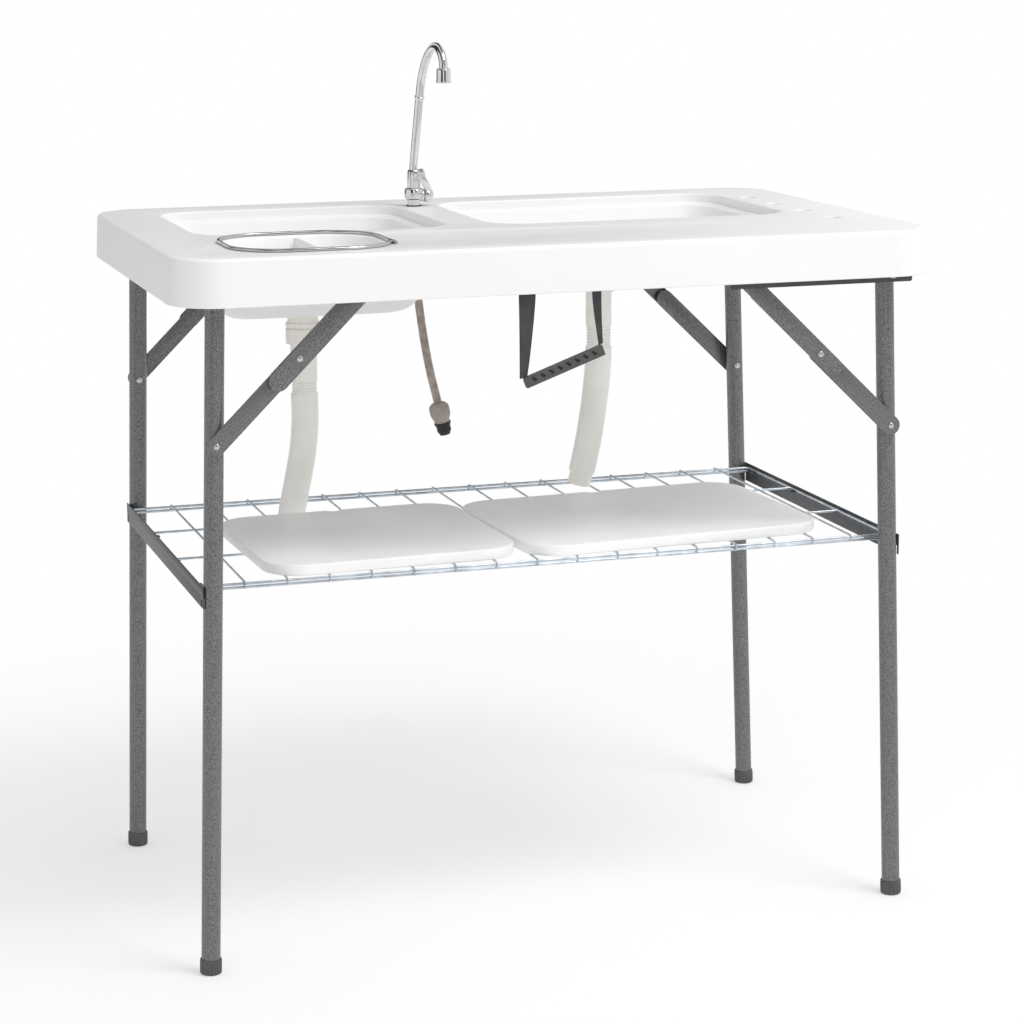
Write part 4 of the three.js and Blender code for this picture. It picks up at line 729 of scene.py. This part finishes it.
for name, plan in SIDES.items():
    s = plan["side"]
    px, pz = plan["pivot"]
    offset = 6.65 if name == "left" else 0
    leg_top = pz - offset * LEAN - 4
    rx, rz = plan["rivet"]
    heads = []
    parts = [tube([(s * px, y, pz) for y in (-AXLE_Y, 0.6 - AXLE_Y, AXLE_Y - 0.6, AXLE_Y)],
                  lambda run: TUBE if 0.3 < run < 2 * AXLE_Y - 0.3 else TUBE - 0.6, 40)]
    for f in (-1, 1):
        y = f * LEG_Y
        parts.append(tube([(s * leg_x(z), y, z) for z in (4.3, 200, 600, leg_top)], TUBE, 40))
        parts.append(spun([(0, -12.4)] + [(12.45 * c, 12.45 * t) for c, t in arc(8)],
                          (s * leg_x(leg_top), y, leg_top), (-s * LEAN, 0, 1), 40))
        parts.append(rod(s * rx, rz, f * (LEG_Y + 11), f * (LOWER_OUT + 0.6), PIN))
        heads.append(dome((s * rx, f * (LEG_Y + TUBE - 0.2), rz), (0, f, 0), 5.0, 2.0))
        heads.append(dome((s * rx, f * (LOWER_OUT + 0.3), rz), (0, f, 0)))
        heads.append(dome((s * rx, f * (LEG_Y - TUBE + 0.2), rz), (0, -f, 0)))
        parts.append(tube([(s * x, y, PEG_Z) for x in (leg_x(PEG_Z), 482.2, 483.5)], 3, 20, ends=0.6))
    piece(f"{name}_leg_tubes", f"{name}_leg", "hammertone_grey", (f"{name}_leg_frame",), *parts)
    piece(f"{name}_leg_rivet_heads", f"{name}_leg", "bright_steel", None, *heads)
    for f, end in ENDS:
        ribs = fluted([(11.5, 0, 0), (13.2, 0, 0), (13.9, 0.7, 0.3), (14.4, 2.5, 1.1),
                       (14.5, 15.5, 1.1), (14.3, 17.5, 0.5), (14.1, 19.2, 0), (13.6, 20, 0),
                       (12.9, 20, 0), (12.8, 16, 0)], 16, (s * leg_x(0), f * LEG_Y, 0), (-s * LEAN, 0, 1))
        for vert in ribs.verts:
            vert.co.z = max(vert.co.z, 0)
        piece(f"{name}_{end}_cap", f"{name}_leg", "foot_plastic", (f"{name}_{end}_foot_cap",), ribs)

# %% [markdown]
# Under each long side of the deck runs a dark rail with a lip that takes the screws, and
# the leg turns on a shouldered bolt in it. A rail is an angle section, made as an upright
# web and a lip, both with their edges broken.

# %% Rails and pivot bolts
RAIL_X, RAIL_END, LIP_END, RAIL_TOP = 224, 484.5, 448.5, 934.7
RAIL_IN, RAIL_OUT = 298.5, 300.5


def screw_head(x, y, z, along, radius=4.0, height=2.4):
    head = [(radius, 0), (radius, height * 0.35)]
    head += [(radius * c, height * (0.35 + 0.65 * t)) for c, t in arc(6)[1:]]
    return spun([(0, 0)] + head, (x, y, z), along, 28)


for name, plan in SIDES.items():
    s = plan["side"]
    px, pz = plan["pivot"]
    ax, az = plan["anchor"]
    for f, end in ENDS:
        low = pz - 11.5
        x0, x1 = sorted((s * RAIL_X, s * RAIL_END))
        web = plate([(x0, low + 2), (x0 + 2, low), (x1 - 2, low), (x1, low + 2), (x1, RAIL_TOP),
                     (x0, RAIL_TOP)], 2, (0, RAIL_OUT if f > 0 else -RAIL_IN, 0))
        lip = slab(*sorted((s * RAIL_X, s * LIP_END)), *sorted((f * 299, f * 312.5)),
                   RAIL_TOP - 2, RAIL_TOP, 0.5)
        screws = [screw_head(s * (RAIL_X + (LIP_END - RAIL_X) * share), f * 306.5, RAIL_TOP - 1.8,
                             (0, 0, -1)) for share in (0.12, 0.88)]
        pin = rod(s * ax, az, f * 293.8, f * 299, PIN)
        heads = [dome((s * ax, f * 295.5, az), (0, -f, 0)),
                 dome((s * ax, f * RAIL_OUT, az), (0, f, 0))]
        piece(f"{name}_{end}_angle_rail", "top", "rail_grey", (f"{name}_{end}_rail",), web, lip, pin)
        piece(f"{name}_{end}_rail_heads", "top", "bright_steel", None, *screws, *heads)
        bolt = [rod(s * px, pz, f * 270, f * 301.8, 4, 32),
                rod(s * px, pz, f * 286.8, f * 298.2, 7.5, 40, ends=0.6)]
        head = spun([(0, 0), (7.0, 0), (7.0, 3.3), (6.3, 4), (0, 4)], (s * px, f * 300.8, pz),
                    (0, f, 0), 6)
        piece(f"{name}_{end}_bolt", "top", "bright_steel", (f"{name}_{end}_pivot_bolt",), *bolt, head,
              angle=25)

# %% [markdown]
# The braces are the clever part. Each is a flat lower link and a channel-shaped upper
# link, riveted end to end, and they break at the middle rivet when the leg folds in. Each
# channel is a web with round ends and a narrow flange along either edge.

# %% Brace links


def stadium(start, end, half):
    turns = arc(14, pi)
    outline = [(end + half * t, -half * c) for c, t in turns]
    return outline + [(start - half * t, half * c) for c, t in turns]


def link_frame(start, end):
    """The line of a link, the direction across it and the distance of its rivets."""
    line = (end - start).normalized()
    return line, Vector((-line.z, 0, line.x)), (end - start).length


LOWER_IN, WEB_IN, WEB_OUT, FLANGE_Y, SHEET = 288.8, 296.3, 297.8, 291.35, 1.5
for name, plan in SIDES.items():
    s = plan["side"]
    rivet, anchor, middle = (Vector((s * plan[key][0], 0, plan[key][1]))
                             for key in ("rivet", "anchor", "middle"))
    for f, end in ENDS:
        line, cross, length = link_frame(rivet, middle)
        start = rivet + Vector((0, LOWER_OUT if f > 0 else -LOWER_IN, 0))
        lower = plate(stadium(0, length + plan["lower_tail"], plan["lower"] / 2), 2.2, start, line,
                      cross, 0.5)
        piece(f"{name}_{end}_lower_brace", f"{name}_lower_links", "hammertone_grey",
              (f"{name}_{end}_lower_link",), lower)
        line, cross, length = link_frame(anchor, middle)
        start = anchor + Vector((0, WEB_OUT if f > 0 else -WEB_IN, 0))
        half, tail = plan["upper"] / 2, length + plan["upper_tail"]
        parts = [plate(stadium(0, tail, half), SHEET, start, line, cross, 0.35)]
        for e in (-1, 1):
            low = (half - SHEET if e > 0 else -half) + (0 if f > 0 else SHEET)
            outline = [(23, 1), (25, 0), (tail - 1.5, 0), (tail, 1), (tail, 6.3), (23, 6.3)]
            parts.append(plate(outline, SHEET, anchor + cross * low + Vector((0, f * FLANGE_Y, 0)),
                               line, Vector((0, f, 0)), 0.3))
        piece(f"{name}_{end}_brace_rivet_head", f"{name}_upper_links", "bright_steel", None,
              dome(middle + Vector((0, f * (WEB_OUT - 0.1), 0)), (0, f, 0)))
        parts.append(rod(middle.x, middle.z, f * FLANGE_Y, f * (WEB_OUT - 0.6), PIN))
        piece(f"{name}_{end}_upper_brace", f"{name}_upper_links", "hammertone_grey",
              (f"{name}_{end}_upper_link",), *parts)

# %% [markdown]
# The shelf is a welded grid: thick wires round the edge, thin ones across, and each thin
# wire turns down at its ends so that nothing sharp sticks out. Bending a wire is a path
# with a small arc at every corner, swept once.

# %% Wire shelf


def bent(points, radius, steps=6):
    """A path of straight runs with round corners."""
    spots = [Vector(p) for p in points]
    path = [spots[0]]
    for before, corner, after in zip(spots, spots[1:], spots[2:]):
        start = corner + (before - corner).normalized() * radius
        end = corner + (after - corner).normalized() * radius
        for i in range(steps + 1):
            t = i / steps
            path.append(start * (1 - t) ** 2 + corner * 2 * t * (1 - t) + end * t * t)
    return path + [spots[-1]]


RIM_X, RIM_Y, SHELF_Z, EDGE_Z, WIRE_Z = 479.6, 253.4, 513.0, 508.2, 515.4
RIM, RUNNER, CROSS = 1.8, 1.7, 1.5
wires = []
rim = bent([(x * RIM_X, y * RIM_Y, SHELF_Z)
            for x, y in ((0, -1), (1, -1), (1, 1), (-1, 1), (-1, -1), (0, -1))], 5)
wires.append(tube(rim[:-1], RIM, 20, closed=True))
BAY = RIM_X * 2 / 17
for s in (-1, 1):
    x = RIM_X - 0.4
    wires.append(tube([(-x, s * RIM_Y, EDGE_Z), (x, s * RIM_Y, EDGE_Z)], RIM, 20, ends=0.6))
    for end in (-1, 1):
        wires.append(tube([(end * (x - BAY), s * RIM_Y, z) for z in (SHELF_Z, EDGE_Z)], CROSS, 16))
    wires.append(tube([(-RIM_X, s * 86.2, SHELF_Z), (RIM_X, s * 86.2, SHELF_Z)], RUNNER, 16))
for i in range(1, 17):
    x = -RIM_X + i * BAY
    y = RIM_Y + 2.5
    wires.append(tube(bent([(x, -y, 506.9), (x, -y, WIRE_Z), (x, y, WIRE_Z), (x, y, 506.9)], 2.8, 5),
                      CROSS, 16, ends=0.5))
shelf = piece("wire_shelf", "shelf", "zinc_wire", ("shelf_grid",), *wires, angle=50)

PLATE_X, SLOT_R = 481.75, 3.3
for s, name in ((-1, "left"), (1, "right")):
    slot_line = [(LEG_Y - SLOT_R * c, PEG_Z + SLOT_R * t) for c, t in arc(10, pi)]
    half_outline = [(LEG_Y - SLOT_R, 490)] + slot_line + [(LEG_Y + SLOT_R, 490), (280, 490),
                                                          (281, 491), (281, 517), (280, 518)]
    outline = half_outline + [(-y, z) for y, z in reversed(half_outline)]
    start = (PLATE_X if s > 0 else -PLATE_X - SHEET, 0, 0)
    parts = [plate(outline, SHEET, start, (0, 1, 0), (0, 0, 1), 0.3)]
    for share in (-0.9, -0.3, 0.3, 0.9):
        x0, x1 = sorted((s * (PLATE_X - 9), s * (PLATE_X + 0.7)))
        y = share * RIM_Y
        parts.append(slab(x0, x1, y - 6, y + 6, 509.4, 510.9, 0.3))
    piece(f"{name}_shelf_plate", "shelf", "rail_grey", (f"{name}_end_plate",), *parts)
print("shelf wires", len(shelf.data.polygons), "faces")

# %% [markdown]
# The two boards close the basins, and lie on the shelf when they are off. Each is a thick
# slab with a soft edge and one notch for a finger, a little askew, as they lie in the
# photograph.

# %% Boards
BOARD, SOFT, BOARD_Z = 15, 2.5, 517.2


def board_ring(half, deep, inset, z):
    return rounded(-half + inset, half - inset, -deep + inset, deep - inset, 51 - inset, z, 14)


for name, x, y, angle, length in (("left", -222, -92, 0.035, 345), ("right", 171, -87, 0.061, 432)):
    half, deep = length / 2, 160
    rings = [board_ring(half, deep, SOFT * (1 - c), SOFT * (1 - t)) for t, c in arc(5)]
    rings += [board_ring(half, deep, SOFT * (1 - c), BOARD - SOFT * (1 - t)) for c, t in arc(5)]
    # their white is partly the plastic's own and partly painted light, lifted for the shade under the table
    board = piece(f"{name}_cutting_board", f"{name}_board", "board_white", None, lofted(rings))
    notch = spun([(0, -2), (10.2, -2), (10.2, 0), (9.3, 0.9), (9, 2), (9, BOARD - 2),
                  (9.3, BOARD - 0.9), (10.2, BOARD), (10.2, BOARD + 2), (0, BOARD + 2)], (0, deep, 0))
    cut(board, [tool(notch, slot="board_white")])
    board.data.transform(Matrix.Translation(mm(x, y, BOARD_Z)) @ Matrix.Rotation(angle, 4, "Z"))
    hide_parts(f"{name}_board")
    print(name, "board", len(board.data.polygons), "faces")

# %% [markdown]
# Under each basin hangs a sink drain: a flange and a strainer in the floor, a rubber
# washer and a lock nut below it, then a fluted collar that holds the hose. All are turned
# parts, and their small lips tell the eye that they screw together.

# %% Drain fittings
for name, basin in zip(("left", "right"), BASINS):
    x, floor_z = basin["drain"], basin["floor"]
    gasket, nut, ring_top = floor_z - 4.3, floor_z - 7.6, floor_z - 30.9
    hose_top = ring_top - 23.8
    lip = [(15, 1.05), (18.3, 1.05), (18.3, 2.2), (18.9, 2.8), (27, 2.8), (29.6, 2.3), (30.8, 1.0),
           (31, 0.3), (18, 0.3)]
    neck_z, tail_z = ring_top - 19.5 - floor_z, hose_top - 30 - floor_z
    tail = [(18, neck_z), (13.6, neck_z - 1), (13.6, tail_z), (11.5, tail_z), (11.5, neck_z),
            (15, neck_z + 2), (15, 1.05)]
    piece(f"{name}_drain_flange", "top", "ivory_plastic", (f"{name}_drain_body",),
          spun(lip + tail, (x, BASIN_Y, floor_z), steps=56))
    disc = piece(f"{name}_drain_strainer", "top", "bright_steel", None,
                 spun([(0, 0), (17.3, 0), (17.6, 0.4), (17.4, 1.1), (15.5, 1.5), (0, 1.5)],
                      (x, BASIN_Y, floor_z + 1.35)))
    holes = [drill(1.7, -3, 3, (x + ring * 5.9 * c, BASIN_Y + ring * 5.9 * t, floor_z + 2), 16)
             for ring, count in enumerate((1, 6, 12)) for c, t in arc(count, tau)[:-1]]
    cut(disc, [tool(*holes, slot="bright_steel")])
    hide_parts(f"{name}_strainer")
    piece(f"{name}_drain_washer", "top", "rubber_black", (f"{name}_drain_gasket",),
          washer(18.35, 24.3, -3, 0, 0.5, (x, BASIN_Y, gasket)))
    nut_rings = fluted([(23.7, -23, 0.4), (24.3, -22.6, 0.8), (24.3, -17.6, 0.8), (23.8, -17, 0.4),
                        (21.7, -16.8, 0), (21.5, -16, 0), (21.5, -0.6, 0), (20.9, 0, 0), (18.35, 0, 0),
                        (18.35, -23, 0), (23.7, -23, 0.4)], 24, (x, BASIN_Y, nut), caps=False)
    piece(f"{name}_drain_nut", "top", "ivory_plastic", (f"{name}_drain_locknut",), nut_rings)
    collar = fluted([(23.6, -23.5, 0.3), (24.6, -22.8, 1.0), (24.7, -4, 1.0), (24.2, -2.4, 0.6),
                     (22.4, -1.9, 0), (21.6, -1.4, 0), (21.5, 0, 0), (18.35, 0, 0), (18.35, -23.5, 0),
                     (23.6, -23.5, 0.3)], 14, (x, BASIN_Y, ring_top), caps=False)
    piece(f"{name}_hose_collar", "top", "ivory_plastic", (f"{name}_drain_collar",), collar)
    print(name, "drain under a floor at", floor_z, "mm")

# %% [markdown]
# The tap is cast and chromed. Its stem and body are turned, and the lever is a thin blade
# on a ball, drawn as a row of flattened rings. Chrome shows only what it mirrors, so the
# white room with its few dark bands is what makes it read as metal.

# %% Tap body and lever
TAP = Vector((TAP_X, TAP_Y, DECK))


def at_tap(x, y, z):
    return TAP + Vector((x, y, z))


piece("tap_seal", "top", "rubber_black", ("tap_washer",),
      washer(9.35, 11.5, 0.3, 1.3, 0.3, TAP))
FOOT = 1.6
VALVE, TOP = FOOT + 14, FOOT + 24
threads = [(r, z + i * 2) for i in range(17) for r, z in ((9.0, -35.6), (8.3, -34.6))]
body_profile = [(5, -36), (8.6, -36)] + threads + [
    (9.0, -1.4), (9, FOOT), (9.5, FOOT + 0.2), (9.6, FOOT + 6), (10.4, FOOT + 8.2),
    (12.9, FOOT + 9.8), (13.6, FOOT + 11.2), (13.6, TOP - 2.6), (13.2, TOP - 1.2),
    (12.2, TOP - 0.2), (11.6, TOP), (6.5, TOP), (6.5, TOP - 4), (5, TOP - 4), (5, -36)]
valve = spun([(0, 0), (9, 0), (9, 12.8), (8.6, 13.8), (7.9, 14.2), (0, 14.2)],
             at_tap(0, 0, VALVE), (1, 0, 0), 40)
piece("tap_casting", "top", "chrome", ("tap_body",), spun(body_profile, TAP, steps=56), valve)
HUB, BALL = 18.7, 10.5
ball = [(0, -4.2), (8.9, -4.2), (9.5, -4.0)]
ball += [(BALL * cos(a), BALL * sin(a)) for a in map(radians, range(-20, 90, 8))]
lever = spun(ball + [(0, BALL)], at_tap(HUB, 0, VALVE), (1, 0, 0), 40)
# each station of the blade: its two edges, its place front to back, its height
stations = ((14.7, 24.2, -3, 0), (14.7, 24.5, -6, 8), (9, 21, -11, 16), (4, 15, -13, 26),
            (1.5, 12, -13.5, 39))
centres = smooth_path([((left + right) / 2, y, up) for left, right, y, up in stations], 5)
widths = smooth_path([(right - left, 0, up) for left, right, y, up in stations], 5)
blade_rings = []
for i, (centre, wide) in enumerate(zip(centres, widths)):
    shrink = (0.7, 0.93, 1.0)[min(2, len(centres) - 1 - i)]
    ring = []
    for c, t in arc(28, tau)[:-1]:
        ring.append(at_tap(centre.x + wide.x / 2 * shrink * copysign(abs(c) ** 0.55, c),
                           centre.y + 1.2 * shrink * copysign(abs(t) ** 0.7, t),
                           VALVE + centre.z))
    blade_rings.append(ring)
piece("lever_handle", "tap_lever", "chrome", ("tap_lever",), lever, lofted(blade_rings))
print("tap foot at", round(TAP.z + FOOT, 1), "mm")

# %% [markdown]
# The gooseneck is one bent tube that swivels in a ribbed nut. Its route is written as
# shares of its reach and its rise, chosen from the photograph, and a small ring
# hides the seam of its two halves.

# %% Spout
REACH, RISE = 128, 230
nut = fluted([(6.4, 0.3, 0), (9.2, 0.3, 0.3), (9.8, 1.0, 0.8), (9.8, 21, 0.8), (9.4, 23.5, 0.3),
              (8.6, 25.4, 0), (7.8, 26.5, 0), (6.4, 26.5, 0), (6.4, 0.3, 0)], 10,
             at_tap(0, 0, TOP), caps=False)
piece("gooseneck_nut", "top", "chrome", ("spout_nut",), nut)

turned_spout = Matrix.Rotation(0.105, 3, "Z")
route_shares = ((0, 0), (0, 0.08), (0, 0.165), (0.061, 0.31), (0.137, 0.48), (0.21, 0.647), (0.286, 0.783),
                (0.436, 0.917), (0.64, 0.998), (0.78, 0.998), (0.872, 0.96), (0.918, 0.915), (0.93, 0.885),
                (0.93, 0.858))
spots = [TAP + turned_spout @ Vector((0, -REACH * reach, TOP - 2 + (RISE - TOP + 2) * rise))
         for reach, rise in route_shares]
neck = smooth_path(spots, 12)
outlet = spots[-1]
seam_at = path_length(neck) * 0.458
spot = next(i for i in range(len(neck)) if path_length(neck[:i + 1]) > seam_at)
seam = spun([(6, -0.3), (6.7, 0), (7, 0.6), (7, 4.2), (6.7, 4.8), (6, 5.1)], neck[spot],
            (neck[spot + 1] - neck[spot]).normalized())
piece("gooseneck", "spout", "chrome", ("spout",), tube(neck, 6, 40, caps=False), seam)
nozzle = spun([(7.4, -19), (9.7, -19), (10.3, -18.6), (10.5, -17.8), (10.4, -15.2), (10, -14.4), (10, -1.5),
               (9.7, -0.2), (8.8, 1.2), (7.4, 1.8), (6.3, 2), (6.3, -1), (4.6, -2), (7.4, -5), (7.4, -19)],
              outlet)
rings = spun([(6.6, -16.4), (7.4, -16.4), (7.4, -17.2), (6.6, -17.2), (6.6, -16.4)], outlet, steps=40)
piece("outlet", "spout", "chrome", ("spout_nozzle",), nozzle, rings)
print("spout", round(path_length(neck), 4), "m")

# %% [markdown]
# Under the deck the tap's threaded shank is held by a washer and a brass nut, and a
# ferrule joins the supply hose to it.

# %% Shank fittings
under, NUT_HIGH, NUT_GAP, FERRULE_Z = DECK - 5.3, 7, 2.3, 903.7
piece("shank_disc", "top", "bright_steel", ("shank_washer",),
      washer(9.35, 17, -2, 0, 0.4, (TAP_X, TAP_Y, under)))
hexagon = [(15 * c, 15 * t) for c, t in arc(6, tau)[:-1]]
brass_nut = piece("shank_hex", "top", "brass", None,
                  plate(hexagon, NUT_HIGH, (TAP_X, TAP_Y, under - NUT_GAP - NUT_HIGH), (1, 0, 0),
                        (0, 1, 0), 0.6), angle=25)
cut(brass_nut, [tool(drill(9.3, -12, 12, (TAP_X, TAP_Y, under - 6)), slot="brass")], angle=25)
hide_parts("shank_nut")
piece("hose_ferrule", "top", "bright_steel", ("supply_ferrule",),
      spun([(0, -16), (7.6, -16), (8.2, -15.5), (8.2, -9), (9.1, -8.2), (9.5, -7.4), (9.5, -1),
            (9, 0), (0, 0)], (TAP_X, TAP_Y, FERRULE_Z)))
print("under the deck", round(DECK - under, 1), "mm of plastic")

# %% [markdown]
# A stainless ring lies round the tray, to hold the mouth of a waste bag. The handle is a
# grip with slanted slots on two webbing straps. Webbing bends, so each strap is one strip
# that follows the top above the fold and the grip below it.

# %% Bag ring and handle
x0, x1, y0, y1 = TRAY
RING_OUT, RING_Z, RING_R = 5.5, 942.55, 2.25
loop = rounded(x0 - RING_OUT, x1 + RING_OUT, y0 - RING_OUT, y1 + RING_OUT, 71.5, RING_Z, 18)
tail = smooth_path([(-215.5, -214, RING_Z), (-215.4, -225, RING_Z), (-214.3, -239, RING_Z),
                    (-213.25, -250, RING_Z)], 5)
piece("waste_bag_ring", "bag_ring", "bright_steel", ("bag_ring",),
      tube(loop, RING_R, 20, closed=True), tube(tail, RING_R, 20, ends=0.7), angle=60)

HANGER_Y = -322.2
GRIP_LEFT, GRIP_RIGHT = (-68, 771), (36.5, 809)
grip_run, grip_rise = GRIP_RIGHT[0] - GRIP_LEFT[0], GRIP_RIGHT[1] - GRIP_LEFT[1]
STRAP_TOP, FOLD_Z = 898, 875
# corners of a strap's section: its side, how far in from the edge, its face
STRAP_SECTION = ((-1, 0, -0.95), (-1, 0.5, -1), (1, 0.5, -1), (1, 0, -0.95), (1, 0, 0.95),
                 (1, 0.5, 1), (-1, 0.5, 1), (-1, 0, 0.95))
for name, x, width, (foot_x, foot_z) in (("left", -62.5, 22, GRIP_LEFT), ("right", 31, 12, GRIP_RIGHT)):
    rings = []
    for i in range(41):
        t = i / 40
        z = STRAP_TOP + (foot_z + 0.5 - STRAP_TOP) * t
        u = max(0.0, (FOLD_Z - z) / (FOLD_Z - foot_z))
        half = width / 2 * (1 - 0.55 * u ** 1.15)
        middle = x + (foot_x - x) * u ** 1.4
        tilt = grip_rise / grip_run * half * max(0.0, u * 6 - 5)
        rings.append([(middle + side * (half - inset), HANGER_Y + face, z + side * tilt)
                      for side, inset, face in STRAP_SECTION])
    strap = piece(f"{name}_webbing", None, "webbing_grey", (f"{name}_strap", f"{name}_strap_anchor"),
                  lofted(rings))
    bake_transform(strap)
    piece(f"{name}_strap_screw", "top", "bright_steel", None,
          screw_head(x, HANGER_Y + 1.0, 886.5, (0, 1, 0), 4, 2.2))

grip_slope = atan(grip_rise / grip_run)
grip_length = hypot(grip_run, grip_rise) + 2


def grip_ring(inset, y):
    half = grip_length / 2
    return [(gx, y, gz) for gx, gz, _ in
            rounded(-half + inset, half - inset, -14.6 + inset, -inset, 2.2 - inset, 0, 8)]


rings = [grip_ring(1.2 * (1 - c), -3.5 + 1.2 * (1 - t)) for t, c in arc(4)]
rings += [grip_ring(1.2 * (1 - c), 3.5 - 1.2 * (1 - t)) for c, t in arc(4)]
handle = piece("grip", "handle", "grip_grey", None, lofted(rings))
pitch = (grip_length - 15) / 8
# each slot also gets a thin black sheet near its floor: painted shade, so the shallow slots read as deep
# dark ones
slots, slot_shade_sheets = [], []
for i in range(8):
    x = -grip_length / 2 + 7.5 + pitch * (i + 0.5)
    slant = [(x + pitch * share, z)
             for share, z in ((-0.34, -3.2), (-0.02, -3.2), (0.3, -8.6), (-0.04, -9.6))]
    wider = [(sx + (0.5 if sx > x else -0.5), sz + (0.5 if sz > -5 else -0.5)) for sx, sz in slant]
    slots.append(plate(slant, 4.1, (0, -1.9, 0), edge=0))
    slot_shade_sheets.append(plate(wider, 0.9, (0, -1.7, 0), edge=0))
cut(handle, [tool(*slots, slot="grip_grey")])
# the black sheets are painted shade inside the slots, not a part
slot_shade = piece("grip_slot_painted_shade", "handle", "adapter_black", None, *slot_shade_sheets)
for made in (handle, slot_shade):
    middle = mm(-15.75, HANGER_Y, 790)
    made.data.transform(Matrix.Translation(middle) @ Matrix.Rotation(-grip_slope, 4, "Y"))
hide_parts("handle_grip")
